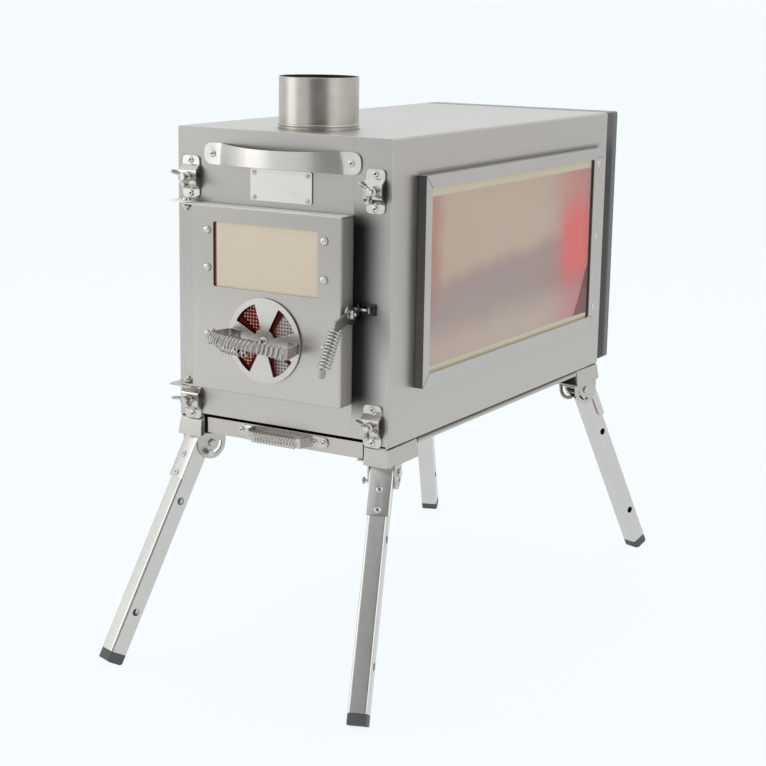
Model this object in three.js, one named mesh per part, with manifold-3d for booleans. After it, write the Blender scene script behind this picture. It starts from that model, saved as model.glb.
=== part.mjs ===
// Folding wood stove for a hot tent, in stainless steel sheet.
//
// Frame: millimetres, +Z up, the front towards -Y, +X to the right of someone who faces the door.
// The origin is on the ground, under the middle of the firebox.
//
// Sheet parts are outlines pushed along an axis, round parts are turned profiles, and openings are cut.

import * as THREE from 'three';
import { mergeVertices } from 'three/addons/utils/BufferGeometryUtils.js';
import Module from 'manifold-3d';

const wasm = await Module();
wasm.setup();

// ---------------------------------------------------------------- driving dimensions

// clearances
const GAP = 0.3; // between pieces that touch
const PIN_PLAY = 0.3; // round a pin in its hole
const CUT_MARGIN = 2; // how far a cutter reaches past what it cuts

// leg, from its pivot to the cap's end, before that is cut level with the ground
const LEG_LENGTH = 248.2;
const LEG_TILT = 27; // degrees from vertical
const FOOT_CUT = 0.15; // how far the middle of the cap's end would stand below the ground
const PIVOT_BELOW_BODY = 28;

// firebox body
const BODY_WIDTH = 250;
const BODY_DEPTH = 495;
const BODY_HEIGHT = 300;
const BODY_SHEET = 1.5;
const BODY_BEND = 3;
const BODY_FLANGE = 26.5; // inward flange under each side

// front panel
const PANEL_SHEET = 1.5;
const PANEL_BEND = 2.5;
const PANEL_FLANGE = 14;
const DOORWAY_LEFT_INSET = 41; // from the body's side
const DOORWAY_RIGHT_INSET = 52;
const DOORWAY_BOTTOM_RISE = 50; // above the body's bottom
const DOORWAY_TOP_DROP = 85; // below the body's top

// cover behind the rear wall
const COVER_WIDTH_MARGIN = 2;
const COVER_DEPTH = 33;
const COVER_SHEET = 1.5;
const COVER_BEND = 2;
const COVER_BOTTOM_RISE = 4;

// firebox floor with the tray channel under it
const FLOOR_SHEET = 1.5;
const FLOOR_TOP_RISE = 12;
const CHANNEL_BOTTOM_DROP = 16;
const CHANNEL_LIP = 8;
const FLOOR_SIDE_LIP = 3;
const ASH_SLOT_LENGTH = 60;
const ASH_SLOT_WIDTH = 8;
const ASH_SLOT_PITCH = 26;
const ASH_SLOT_ROW = 40; // from the middle to the middle of a row
const ASH_SLOT_COUNT = 7;

// fire grate
const GRATE_WIDTH_MARGIN = 100;
const GRATE_LENGTH = 330;
const GRATE_HEIGHT = 14;
const GRATE_SHEET = 2;
const GRATE_SLOT_WIDTH = 7;
const GRATE_SLOT_PITCH = 26;
const GRATE_SLOT_COUNT = 11;
const GRATE_SLOT_MARGIN = 18;

// smoke baffle
const BAFFLE_SHEET = 1.5;
const BAFFLE_TOP_DROP = 40;
const BAFFLE_FLANGE = 10;
const BAFFLE_FRONT_SETBACK = 22.5; // behind the body's front
const BAFFLE_REAR_GAP = 137.5; // before the body's rear

// flue collar
const FLUE_BORE = 78;
const FLUE_WALL = 1;
const FLUE_HEIGHT = 51;
const FLUE_Y_SETBACK = 66;
const FLUE_BELOW_ROOF = 6;
const FLUE_BEAD_HEIGHT = 5; // middle of the bead above the roof
const FLUE_BEAD_HALF = 1.9;
const FLUE_BEAD_RISE = 1.1;
const FLUE_RIM = 3; // seat flange beyond the tube
const FLUE_RIM_SHEET = 1;

// side windows
const SIDE_OPENING_FRONT_SETBACK = 58;
const SIDE_OPENING_REAR_GAP = 53;
const SIDE_OPENING_BOTTOM_RISE = 71;
const SIDE_OPENING_TOP_DROP = 60;
const FRAME_FRONT_SETBACK = 49;
const FRAME_REAR_GAP = 21;
const FRAME_BOTTOM_RISE = 53.4;
const FRAME_TOP_DROP = 38;
const FRAME_PROUD = 9.5;
const FRAME_FACE = 12.5;
const FRAME_SHEET = 1.5;
const FRAME_RAMP = 26; // length of the sloping rear ends
const SIDE_GLASS = 4;
const SIDE_GLASS_STANDOFF = 1.2;
const SIDE_GLASS_REAR_GAP = 45;
const SEAL_WIDTH = 7; // inward fold behind the glass
const STRIP_SHEET = 1.5;
const STRIP_FRONT_GAP = 48;
const STRIP_CREST = 8; // length of the raised front part
const STRIP_SLOPE = 6.5;
const STRIP_REAR_GAP = 4;
const STRIP_RIVET_RISE = 73; // lowest rivet above the body's bottom
const STRIP_RIVET_DROP = 58; // highest rivet below the body's top
const STRIP_RIVET_LIFT = 7; // middle rivet above the body's middle
const STRIP_RIVET_Y_GAP = 24.5;

// door
const DOOR_LEFT_INSET = 31;
const DOOR_RIGHT_INSET = 42;
const DOOR_BOTTOM_RISE = 39.5;
const DOOR_TOP_DROP = 74.5;
const DOOR_DEPTH = 20.2;
const DOOR_STANDOFF = 0.8; // from the panel
const DOOR_SHEET = 1.2;
const DOOR_BEND = 1.5;
const DOOR_CORNER = 2.5;
const PANE_INSET = 27; // from the door's sides
const PANE_BOTTOM_RISE = 145.4;
const PANE_TOP_DROP = 90;
const PANE_CORNER = 2;
const PANE_OVERLAP_SIDE = 3.5;
const PANE_OVERLAP_END = 6.5;
const DOOR_GLASS = 4;
const RETAINER_SHEET = 1.5;
const RETAINER_INSET = 10.5; // of the plate's sides from the door's sides
const RETAINER_BOTTOM_RISE = 49;
const RETAINER_TOP_DROP = 81;
const RETAINER_SCREW_INSET = 19.6;
const RETAINER_SCREW_RISES = [96.7, 163.7]; // above the body's bottom
const RETAINER_SCREW_DROP = 98.8; // below the body's top
const SCREEN_SHEET = 1;
const SCREEN_HALF = 41;
const SCREEN_PITCH = 11;
const SCREEN_HOLE = 5.5;

// rotary air vent
const VENT_SHIFT = 1; // from the door's middle
const VENT_Z_RISE = 97;
const VENT_RADIUS = 42.5;
const VENT_SHEET = 1.6;
const VENT_STANDOFF = 0.9;
const VENT_REST_TURN = 5; // degrees, left side up
const SECTOR_INNER = 12;
const SECTOR_OUTER = 37;
const SECTOR_SPAN = 45; // degrees
const SECTOR_COUNT = 4;
const DOOR_SECTOR_TURN = -15; // degrees, against the disc's own sectors at zero turn
const VENT_PIN = 5;
const VENT_HEAD = 9;
const VENT_HEAD_HEIGHT = 2.2;
const VENT_STRAP_WIDTH = 11;
const VENT_STRAP_SHEET = 1.5;
const VENT_BAR_HALF = 46;
const VENT_BAR_REACH = 31; // from the door's face to the bar's front
const VENT_FOOT_OUTER = 39.5;
const VENT_FOOT_INNER = 29;
const VENT_STRAP_BEND = 2.5;
const VENT_COIL_TURNS = 22;
const VENT_COIL_DIAMETER = 16;
const VENT_COIL_WIRE = 1.4;
const VENT_COIL_LEFT = -41;
const VENT_COIL_RIGHT = 24;

// door hinge
const HINGE_X_INSET = 19;
const HINGE_Y_REACH = 12; // before the body's front
const HINGE_PIN = 5;
const HINGE_SHEET = 1.5;
const LUG_RADIUS = 6.5;
const EAR_OUTER_INSET = 0.5;
const EAR_ROOT_INSET = 6.4;
const EAR_RADIUS = 8;
const EAR_ROOT_CLEARANCE = 4.2; // from the panel to the free part of the ear
const HINGE_HEAD = 9;
const HINGE_HEAD_HEIGHT = 3;
const HINGE_NUT_HEIGHT = 3.5;
const HINGE_TIP = 3;

// door latch
const LATCH_Y_REACH = 12.3;
const LATCH_Z_RISE = 132.1;
const LATCH_PLATE = 2.5;
const LATCH_OFFSET = 4.5; // from the door's side to the lever
const LATCH_HEAD_RADIUS = 10.2;
const LATCH_ARM_WIDTH = 10;
const LATCH_GRIP_WIDTH = 7;
const LATCH_ELBOW = [-26.2, -8.8]; // from the pivot, along Y and Z
const LATCH_GRIP_ANGLE = 239.6; // degrees in the Y-Z plane
const LATCH_GRIP_LENGTH = 47;
const LATCH_COIL_START = 3;
const LATCH_COIL_LENGTH = 40;
const LATCH_COIL_TURNS = 12;
const LATCH_COIL_DIAMETER = 12.2;
const LATCH_COIL_WIRE = 1.6;
const LATCH_PIN = 5;
const LATCH_BOLT_HEAD = 10;
const LATCH_BOLT_HEAD_HEIGHT = 3;
const LATCH_WASHER = 9;
const KEEPER_PIN = 3.5;
const KEEPER_PIN_Y_REACH = 5.5;
const KEEPER_PIN_Z_RISE = 136.5;
const KEEPER_PIN_TIP_OFFSET = 3.5; // from the door's right side
const KEEPER_PIN_HEAD_OFFSET = 23;
const KEEPER_TAB_X_OFFSET = 11.5;
const KEEPER_SHEET = 1.5;
const KEEPER_TAB_REACH = 10;
const KEEPER_TAB_HEIGHT = 11;
const KEEPER_FOOT = 15;
const KEEPER_HEAD = 7;

// ash tray
const TRAY_WIDTH_MARGIN = 62;
const TRAY_LENGTH_MARGIN = 115;
const TRAY_HEIGHT = 20;
const TRAY_SHEET = 1.2;
const TRAY_RECESS = 4.5; // behind the panel's face
const TRAY_NOTCH_SIDE = 3;
const TRAY_NOTCH_TOP = 1.3;
const TRAY_STRAP_Z = 10; // above the tray's bottom
const TRAY_STRAP_WIDTH = 10.5;
const TRAY_STRAP_WAIST = 8.4;
const TRAY_STRAP_SHEET = 1.5;
const TRAY_STRAP_HALF = 54;
const TRAY_STRAP_FOOT = 35;
const TRAY_STRAP_SHOULDER = 30;
const TRAY_STRAP_REACH = 19;
const TRAY_RIVETS = [38.9, 49.5];
const TRAY_COIL_TURNS = 14;
const TRAY_COIL_DIAMETER = 12.6;
const TRAY_COIL_WIRE = 1.4;
const TRAY_COIL_LENGTH = 52;

// carry handle
const CARRY_Z_DROP = 25.5;
const CARRY_HALF_INSET = 33.5; // from the body's side
const CARRY_RIVET_INSET = 10.5; // from the strap's end
const CARRY_CREASE_INSET = 19.5;
const CARRY_BOW_START_INSET = 25.5;
const CARRY_JOGGLE = 2.5;
const CARRY_REACH = 22.5;
const CARRY_END_WIDTH = 21.5;
const CARRY_WAIST = 17.5;
const CARRY_SHEET = 1.5;

// name plate, bare
const PLATE_HALF = 36;
const PLATE_BOTTOM_DROP = 68.3;
const PLATE_TOP_DROP = 37;
const PLATE_SHEET = 1;
const PLATE_CORNER = 2;
const PLATE_RIVET_SIDE = 31.3;
const PLATE_RIVET_LOWER_RISE = 3.3;
const PLATE_RIVET_UPPER_DROP = 4;

// clamp brackets with wing screws
const CLAMP_X_INSET = 17;
const CLAMP_LOWER_RISE = 22;
const CLAMP_UPPER_DROP = 50;
const CLAMP_WIDTH = 20.5;
const CLAMP_HALF = 21;
const CLAMP_HUMP = 11.75;
const CLAMP_FLAT = 6;
const CLAMP_REACH = 6.3; // free depth of the tunnel
const CLAMP_SHEET = 1.5;
const CLAMP_RIVET = 16.6;
const CLAMP_CORNER = 4;
const WING_SHANK = 5;
const WING_BOSS = 9.5;
const WING_BOSS_LENGTH = 8;
const WING_NUT = 10;
const WING_NUT_HEIGHT = 3;
const WING_THICKNESS = 2.4;
const WING_SPREAD = 11.5;
const WING_RISE = 17; // from the boss's seat to the wing tips

// rivets and small screws
const RIVET_HEAD = 6.8;
const RIVET_HEIGHT = 1.5;
const RIVET_HOLE = 2.2;
const SMALL_RIVET_HEAD = 4;
const SMALL_RIVET_HEIGHT = 1;
const RIVET_SIDES = 6;

// facets of round pieces
const PIN_SIDES = 8;
const ROUND_SIDES = 32;

// corner gussets
const GUSSET_LENGTH = 57;
const GUSSET_BOTTOM_DROP = 18;
const GUSSET_FLARE = 2.2;
const GUSSET_SHEET = 1.5;
const GUSSET_TOP_FLANGE = 20;

// legs
const LEG_X_INSET_X = 14.1;
const LEG_INSET = 17.5; // from the body's end to the leg's axis under the body
const LEG_AZIMUTH = 20; // degrees from the body's long axis
const PIVOT_OUT = -3; // from the leg's axis point, in the swing plane
const PIVOT_DROP = 8;
const PIVOT_PIN = 6;
const PIVOT_HEAD = 10;
const PIVOT_HEAD_HEIGHT = 3.5;
const EAR_SHEET = 1.8;
const EAR_END_RADIUS = 17;
const YOKE_WIDTH = 23.8;
const YOKE_SHEET = 1.5;
const YOKE_LUG = 8.5;
const YOKE_TOP = 1.1; // web's upper edge above the pivot, along the leg
const YOKE_BOTTOM = 46.9;
const YOKE_STEP = 19.5;
const YOKE_SKIRT = 10; // depth of the flange below its step
const YOKE_RIVETS = [21.6, 41.8];
const GUIDE_RADIUS = 10.5;
const GUIDE_ANGLE = 4; // degrees from the leg's axis, outwards
const GUIDE_PIN = 3.6;
const GUIDE_REACH = 7; // beyond the inner ear
const GUIDE_HEAD = 7;
const GUIDE_HEAD_HEIGHT = 2.5;
const FOLD_RANGE = 117; // degrees
const TUBE_SIDE = 20;
const TUBE_WALL = 1.2;
const TUBE_CORNER = 3;
const TUBE_START = 15.4; // below the pivot, along the leg
const TUBE_HOLE = 6.5;
const TUBE_HOLES = [68.4, 191.4];
const CAP_HEIGHT = 11;
const CAP_PLUG = 14;

// ---------------------------------------------------------------- derived sizes

const STANDING_HEIGHT = LEG_LENGTH * Math.cos((LEG_TILT * Math.PI) / 180) - FOOT_CUT;
const BODY_BOTTOM = Math.round(10 * (STANDING_HEIGHT + PIVOT_BELOW_BODY)) / 10; // above the ground
const BODY_TOP = BODY_BOTTOM + BODY_HEIGHT;
const FRONT = -BODY_DEPTH / 2;
const REAR = BODY_DEPTH / 2;
const SIDE = BODY_WIDTH / 2;
const DOORWAY_LEFT = -SIDE + DOORWAY_LEFT_INSET;
const DOORWAY_RIGHT = SIDE - DOORWAY_RIGHT_INSET;
const DOORWAY_BOTTOM = BODY_BOTTOM + DOORWAY_BOTTOM_RISE;
const DOORWAY_TOP = BODY_TOP - DOORWAY_TOP_DROP;
const COVER_WIDTH = BODY_WIDTH - COVER_WIDTH_MARGIN;
const COVER_BOTTOM = BODY_BOTTOM + COVER_BOTTOM_RISE;
const FLOOR_TOP = BODY_BOTTOM + FLOOR_TOP_RISE;
const CHANNEL_BOTTOM = BODY_BOTTOM - CHANNEL_BOTTOM_DROP;
const GRATE_WIDTH = BODY_WIDTH - GRATE_WIDTH_MARGIN;
const BAFFLE_TOP = BODY_TOP - BAFFLE_TOP_DROP;
const BAFFLE_FRONT = FRONT + BAFFLE_FRONT_SETBACK;
const BAFFLE_REAR = REAR - BAFFLE_REAR_GAP;
const FLUE_Y = FRONT + FLUE_Y_SETBACK;
const SIDE_OPENING_FRONT = FRONT + SIDE_OPENING_FRONT_SETBACK;
const SIDE_OPENING_REAR = REAR - SIDE_OPENING_REAR_GAP;
const SIDE_OPENING_BOTTOM = BODY_BOTTOM + SIDE_OPENING_BOTTOM_RISE;
const SIDE_OPENING_TOP = BODY_TOP - SIDE_OPENING_TOP_DROP;
const FRAME_FRONT = FRONT + FRAME_FRONT_SETBACK;
const FRAME_REAR = REAR - FRAME_REAR_GAP;
const FRAME_BOTTOM = BODY_BOTTOM + FRAME_BOTTOM_RISE;
const FRAME_TOP = BODY_TOP - FRAME_TOP_DROP;
const SIDE_GLASS_REAR = REAR - SIDE_GLASS_REAR_GAP;
const STRIP_FRONT = REAR - STRIP_FRONT_GAP;
const STRIP_REAR = REAR - STRIP_REAR_GAP;
const STRIP_RIVET_Y = REAR - STRIP_RIVET_Y_GAP;
const STRIP_RIVETS = [
  BODY_BOTTOM + STRIP_RIVET_RISE,
  BODY_BOTTOM + BODY_HEIGHT / 2 + STRIP_RIVET_LIFT,
  BODY_TOP - STRIP_RIVET_DROP,
];
const DOOR_LEFT = -SIDE + DOOR_LEFT_INSET;
const DOOR_RIGHT = SIDE - DOOR_RIGHT_INSET;
const DOOR_BOTTOM = BODY_BOTTOM + DOOR_BOTTOM_RISE;
const DOOR_TOP = BODY_TOP - DOOR_TOP_DROP;
const PANE_LEFT = DOOR_LEFT + PANE_INSET;
const PANE_RIGHT = DOOR_RIGHT - PANE_INSET;
const PANE_BOTTOM = BODY_BOTTOM + PANE_BOTTOM_RISE;
const PANE_TOP = BODY_TOP - PANE_TOP_DROP;
const RETAINER_BOTTOM = BODY_BOTTOM + RETAINER_BOTTOM_RISE;
const RETAINER_TOP = BODY_TOP - RETAINER_TOP_DROP;
const VENT_Z = BODY_BOTTOM + VENT_Z_RISE;
const HINGE_X = -SIDE + HINGE_X_INSET;
const HINGE_Y = FRONT - HINGE_Y_REACH;
const EAR_OUTER = -SIDE + EAR_OUTER_INSET;
const EAR_ROOT = -SIDE + EAR_ROOT_INSET;
const LATCH_Y = FRONT - LATCH_Y_REACH;
const LATCH_Z = BODY_BOTTOM + LATCH_Z_RISE;
const KEEPER_PIN_Y = FRONT - KEEPER_PIN_Y_REACH;
const KEEPER_PIN_Z = BODY_BOTTOM + KEEPER_PIN_Z_RISE;
const KEEPER_PIN_TIP = DOOR_RIGHT + KEEPER_PIN_TIP_OFFSET;
const KEEPER_PIN_HEAD = DOOR_RIGHT + KEEPER_PIN_HEAD_OFFSET;
const KEEPER_TAB_X = DOOR_RIGHT + KEEPER_TAB_X_OFFSET;
const TRAY_WIDTH = BODY_WIDTH - TRAY_WIDTH_MARGIN;
const TRAY_LENGTH = BODY_DEPTH - TRAY_LENGTH_MARGIN;
const CARRY_Z = BODY_TOP - CARRY_Z_DROP;
const CARRY_HALF = SIDE - CARRY_HALF_INSET;
const CARRY_RIVET = CARRY_HALF - CARRY_RIVET_INSET;
const CARRY_CREASE = CARRY_HALF - CARRY_CREASE_INSET;
const CARRY_BOW_START = CARRY_HALF - CARRY_BOW_START_INSET;
const PLATE_BOTTOM = BODY_TOP - PLATE_BOTTOM_DROP;
const PLATE_TOP = BODY_TOP - PLATE_TOP_DROP;
const PLATE_RIVET_LOWER = PLATE_BOTTOM + PLATE_RIVET_LOWER_RISE;
const PLATE_RIVET_UPPER = PLATE_TOP - PLATE_RIVET_UPPER_DROP;
const CLAMP_X = SIDE - CLAMP_X_INSET;
const CLAMP_LOWER = BODY_BOTTOM + CLAMP_LOWER_RISE;
const CLAMP_UPPER = BODY_TOP - CLAMP_UPPER_DROP;
const GUSSET_INNER = SIDE - BODY_FLANGE;
const GUSSET_BOTTOM = BODY_BOTTOM - GUSSET_BOTTOM_DROP;
const LEG_X = SIDE - LEG_X_INSET_X;
const LEG_TOP = BODY_BOTTOM - PIVOT_BELOW_BODY + PIVOT_DROP;
const INNER_SIDE = SIDE - BODY_SHEET;
const FLANGE_EDGE = SIDE - BODY_FLANGE;
const PANEL_SIDE = INNER_SIDE - GAP;
const PANEL_BOTTOM = BODY_BOTTOM + BODY_SHEET + GAP;
const PANEL_TOP = BODY_TOP - BODY_SHEET - GAP;
const PANEL_REAR = FRONT + PANEL_FLANGE;
const CHANNEL_SIDE = FLANGE_EDGE - GAP - FLOOR_SHEET; // inner face of the tray channel
const TRAY_BOTTOM = CHANNEL_BOTTOM + FLOOR_SHEET + GAP;
const TRAY_TOP = TRAY_BOTTOM + TRAY_HEIGHT;
const TRAY_FRONT = FRONT + TRAY_RECESS;
const DOOR_REAR = FRONT - DOOR_STANDOFF;
const DOOR_FACE = DOOR_REAR - DOOR_DEPTH;
const DOOR_INNER = DOOR_FACE + DOOR_SHEET;
const DOOR_MIDDLE = (DOOR_LEFT + DOOR_RIGHT) / 2;
const DOOR_HALF = (DOOR_RIGHT - DOOR_LEFT) / 2;
const RETAINER_SIDE = DOOR_HALF - RETAINER_INSET;
const RETAINER_SCREW_SIDE = DOOR_HALF - RETAINER_SCREW_INSET;
const RETAINER_SCREW_HEIGHTS = [
  ...RETAINER_SCREW_RISES.map((rise) => BODY_BOTTOM + rise),
  BODY_TOP - RETAINER_SCREW_DROP,
];
const VENT_X = DOOR_MIDDLE + VENT_SHIFT;
const LATCH_X = DOOR_RIGHT + LATCH_OFFSET;

// ---------------------------------------------------------------- colours

const STEEL = { color: 0xb9b9b8, roughness: 0.38, metalness: 0.9 };
const BRIGHT_STEEL = { color: 0xc9c5bf, roughness: 0.22, metalness: 0.95 };
const LEG_STEEL = { color: 0xc8c8c5, roughness: 0.32, metalness: 0.9 };
const GLASS = { color: 0xcdbfa5, roughness: 0.08, metalness: 0.0 };
const SCREEN_STEEL = { color: 0x8d7f7a, roughness: 0.5, metalness: 0.8 };
const CAP_PLASTIC = { color: 0x5a5e5e, roughness: 0.6, metalness: 0.0 };
const DARK_STEEL = { color: 0x6a6865, roughness: 0.55, metalness: 0.8 };

// ---------------------------------------------------------------- solids from three.js geometry

const UNIT_X = new THREE.Vector3(1, 0, 0);
const UNIT_Y = new THREE.Vector3(0, 1, 0);
const UNIT_Z = new THREE.Vector3(0, 0, 1);
const ALONG = {
  x: new THREE.Matrix4().makeBasis(UNIT_Y, UNIT_Z, UNIT_X),
  y: new THREE.Matrix4().makeBasis(UNIT_X, UNIT_Z, UNIT_Y.clone().negate()),
  z: new THREE.Matrix4(),
};
const radians = THREE.MathUtils.degToRad;

function signedVolume(positions, triangles) {
  let sum = 0;
  for (let t = 0; t < triangles.length; t += 3) {
    const [a, b, c] = [0, 1, 2].map((k) => {
      const at = triangles[t + k] * 3;
      return new THREE.Vector3(positions[at], positions[at + 1], positions[at + 2]);
    });
    sum += a.dot(b.cross(c)) / 6;
  }
  return sum;
}

// A closed three.js geometry becomes a solid whose faces point out.
function toSolid(geometry) {
  const bare = geometry.clone();
  bare.deleteAttribute('normal');
  bare.deleteAttribute('uv');
  const merged = mergeVertices(bare, 1e-4);
  const positions = Float32Array.from(merged.attributes.position.array);
  const all = merged.index.array;
  const kept = [];
  for (let t = 0; t < all.length; t += 3) {
    const [a, b, c] = [all[t], all[t + 1], all[t + 2]];
    if (a !== b && b !== c && c !== a) kept.push(a, b, c);
  }
  if (signedVolume(positions, kept) < 0) kept.reverse();
  const mesh = new wasm.Mesh({ numProp: 3, vertProperties: positions, triVerts: Uint32Array.from(kept) });
  return new wasm.Manifold(mesh);
}

function toGeometry(solid) {
  const mesh = solid.getMesh();
  const geometry = new THREE.BufferGeometry();
  geometry.setAttribute('position', new THREE.BufferAttribute(Float32Array.from(mesh.vertProperties), 3));
  geometry.setIndex(Array.from(mesh.triVerts));
  return geometry;
}

const joined = (solids) => solids.reduce((whole, next) => whole.add(next));
const cutBy = (solid, cutters) => cutters.reduce((rest, cutter) => rest.subtract(cutter), solid);
const moved = (solid, matrix) => toSolid(toGeometry(solid).applyMatrix4(matrix));
const shift = (x, y, z) => new THREE.Matrix4().makeTranslation(x, y, z);
const MIRROR_X = new THREE.Matrix4().makeScale(-1, 1, 1);

function box(x0, x1, y0, y1, z0, z1) {
  const geometry = new THREE.BoxGeometry(x1 - x0, y1 - y0, z1 - z0);
  geometry.translate((x0 + x1) / 2, (y0 + y1) / 2, (z0 + z1) / 2);
  return toSolid(geometry);
}

// An outline pushed from one place to another. Along x it is drawn in (y, z), along y in (x, z),
// along z in (x, y).
function push(axis, outline, from, to, holes = []) {
  const shape = new THREE.Shape(outline.map(([u, v]) => new THREE.Vector2(u, v)));
  for (const hole of holes) {
    shape.holes.push(new THREE.Path(hole.map(([u, v]) => new THREE.Vector2(u, v))));
  }
  const geometry = new THREE.ExtrudeGeometry(shape, { depth: to - from, bevelEnabled: false });
  geometry.applyMatrix4(ALONG[axis]);
  if (axis === 'x') geometry.translate(from, 0, 0);
  if (axis === 'y') geometry.translate(0, to, 0);
  if (axis === 'z') geometry.translate(0, 0, from);
  return toSolid(geometry);
}

// A corner list [u, v, radius] with its round corners drawn as arcs.
function rounded(corners, steps = 3, closed = true) {
  const points = [];
  corners.forEach(([u, v, radius = 0], i) => {
    const before = corners[(i + corners.length - 1) % corners.length];
    const after = corners[(i + 1) % corners.length];
    const isEnd = !closed && (i === 0 || i === corners.length - 1);
    if (radius === 0 || isEnd) {
      points.push([u, v]);
      return;
    }
    const here = new THREE.Vector2(u, v);
    const back = new THREE.Vector2(before[0] - u, before[1] - v).normalize();
    const ahead = new THREE.Vector2(after[0] - u, after[1] - v).normalize();
    const half = Math.acos(THREE.MathUtils.clamp(back.dot(ahead), -1, 1)) / 2;
    const run = radius / Math.tan(half);
    const centre = back.clone().add(ahead).normalize().multiplyScalar(radius / Math.sin(half)).add(here);
    const first = back.clone().multiplyScalar(run).add(here).sub(centre);
    const last = ahead.clone().multiplyScalar(run).add(here).sub(centre);
    const start = first.angle();
    let sweep = last.angle() - start;
    if (sweep > Math.PI) sweep -= 2 * Math.PI;
    if (sweep < -Math.PI) sweep += 2 * Math.PI;
    for (let k = 0; k <= steps; k += 1) {
      const angle = start + (sweep * k) / steps;
      points.push([centre.x + radius * Math.cos(angle), centre.y + radius * Math.sin(angle)]);
    }
  });
  return points;
}

const rectangle = (u0, u1, v0, v1, radius = 0, steps = 3) =>
  rounded([[u0, v0, radius], [u1, v0, radius], [u1, v1, radius], [u0, v1, radius]], steps);

function circle(u, v, radius, sides) {
  return Array.from({ length: sides }, (_, k) => {
    const angle = (2 * Math.PI * (k + 0.5)) / sides;
    return [u + radius * Math.cos(angle), v + radius * Math.sin(angle)];
  });
}

// Points on an arc, angles in degrees.
function arc(u, v, radius, from, to, steps) {
  return Array.from({ length: steps + 1 }, (_, k) => {
    const angle = radians(from + ((to - from) * k) / steps);
    return [u + radius * Math.cos(angle), v + radius * Math.sin(angle)];
  });
}

// A folded sheet seen on edge: a bent line and its copy one sheet thickness to the left of it.
function sheet(line, thickness) {
  const points = line.map(([u, v]) => new THREE.Vector2(u, v));
  const normals = points.map((point, i) => {
    const into = i > 0 ? point.clone().sub(points[i - 1]).normalize() : null;
    const out = i < points.length - 1 ? points[i + 1].clone().sub(point).normalize() : null;
    const direction = (into ?? out).clone().add(out ?? into).normalize();
    const normal = new THREE.Vector2(-direction.y, direction.x);
    const side = new THREE.Vector2(-(into ?? out).y, (into ?? out).x);
    return normal.multiplyScalar(thickness / Math.max(normal.dot(side), 0.5));
  });
  const offset = points.map((point, i) => point.clone().add(normals[i]));
  return [...points, ...offset.reverse()].map((point) => [point.x, point.y]);
}

// A turned profile of [radius, height] points round the local Z axis, moved to a place and turned to
// point along a direction.
function turned(profile, sides, at = [0, 0, 0], direction = UNIT_Z) {
  const points = profile.map(([radius, height]) => new THREE.Vector2(radius, height));
  const geometry = new THREE.LatheGeometry(points, sides);
  geometry.rotateX(Math.PI / 2);
  geometry.applyQuaternion(new THREE.Quaternion().setFromUnitVectors(UNIT_Z, direction));
  geometry.translate(...at);
  return toSolid(geometry);
}

const rod = (radius, from, to, sides, at, direction) =>
  turned([[0, from], [radius, from], [radius, to], [0, to]], sides, at, direction);

// A blind rivet's domed head with the dimple its pulled pin leaves. It sinks a little into its strap.
function rivet(at, direction, head = RIVET_HEAD, height = RIVET_HEIGHT) {
  const sink = height / 3;
  const dimple = (RIVET_HOLE / 2) * (head / RIVET_HEAD);
  return turned([
    [0, height * 0.3],
    [dimple, height * 0.3],
    [dimple * 1.2, height],
    [head * 0.36, height * 0.8],
    [head / 2, height * 0.2],
    [head / 2, -sink],
    [0, -sink],
  ], RIVET_SIDES, at, direction);
}

// A sheet pan that is open at its back: a pressed face towards -Y, bent edges and a flange all round.
function pan({ x0, x1, z0, z1, face, depth, wall, bend, corner }) {
  const outline = rectangle(x0 + bend, x1 - bend, z0 + bend, z1 - bend, Math.max(corner - bend, 0.4), 2);
  const outer = bevelled(outline, face, depth + CUT_MARGIN, bend);
  const hollow = rectangle(x0 + wall, x1 - wall, z0 + wall, z1 - wall, Math.max(corner - wall, 0.5), 2);
  const inner = push('y', hollow, face + wall, face + depth + 2 * CUT_MARGIN);
  const tail = box(x0 - CUT_MARGIN, x1 + CUT_MARGIN, face + depth, face + depth + 4 * CUT_MARGIN + bend,
    z0 - CUT_MARGIN, z1 + CUT_MARGIN);
  return outer.subtract(inner).subtract(tail);
}

// An outline in (x, z) grown by its bend radius behind a face towards -Y.
function bevelled(outline, face, depth, bend) {
  const shape = new THREE.Shape(outline.map(([u, v]) => new THREE.Vector2(u, v)));
  const geometry = new THREE.ExtrudeGeometry(shape, {
    depth,
    bevelEnabled: true,
    bevelThickness: bend,
    bevelSize: bend,
    bevelSegments: 2,
  });
  geometry.applyMatrix4(ALONG.y);
  geometry.translate(0, face + bend + depth, 0);
  return toSolid(geometry);
}

// ---------------------------------------------------------------- assembly

const stove = new THREE.Group();
stove.name = 'tent_wood_stove';

function addPart(name, solid, look, parent = stove) {
  const geometry = solid.isBufferGeometry ? solid : toGeometry(solid);
  geometry.computeVertexNormals();
  const mesh = new THREE.Mesh(geometry, new THREE.MeshStandardMaterial(look));
  mesh.name = name;
  parent.add(mesh);
  return mesh;
}

// ---------------------------------------------------------------- springs

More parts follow.
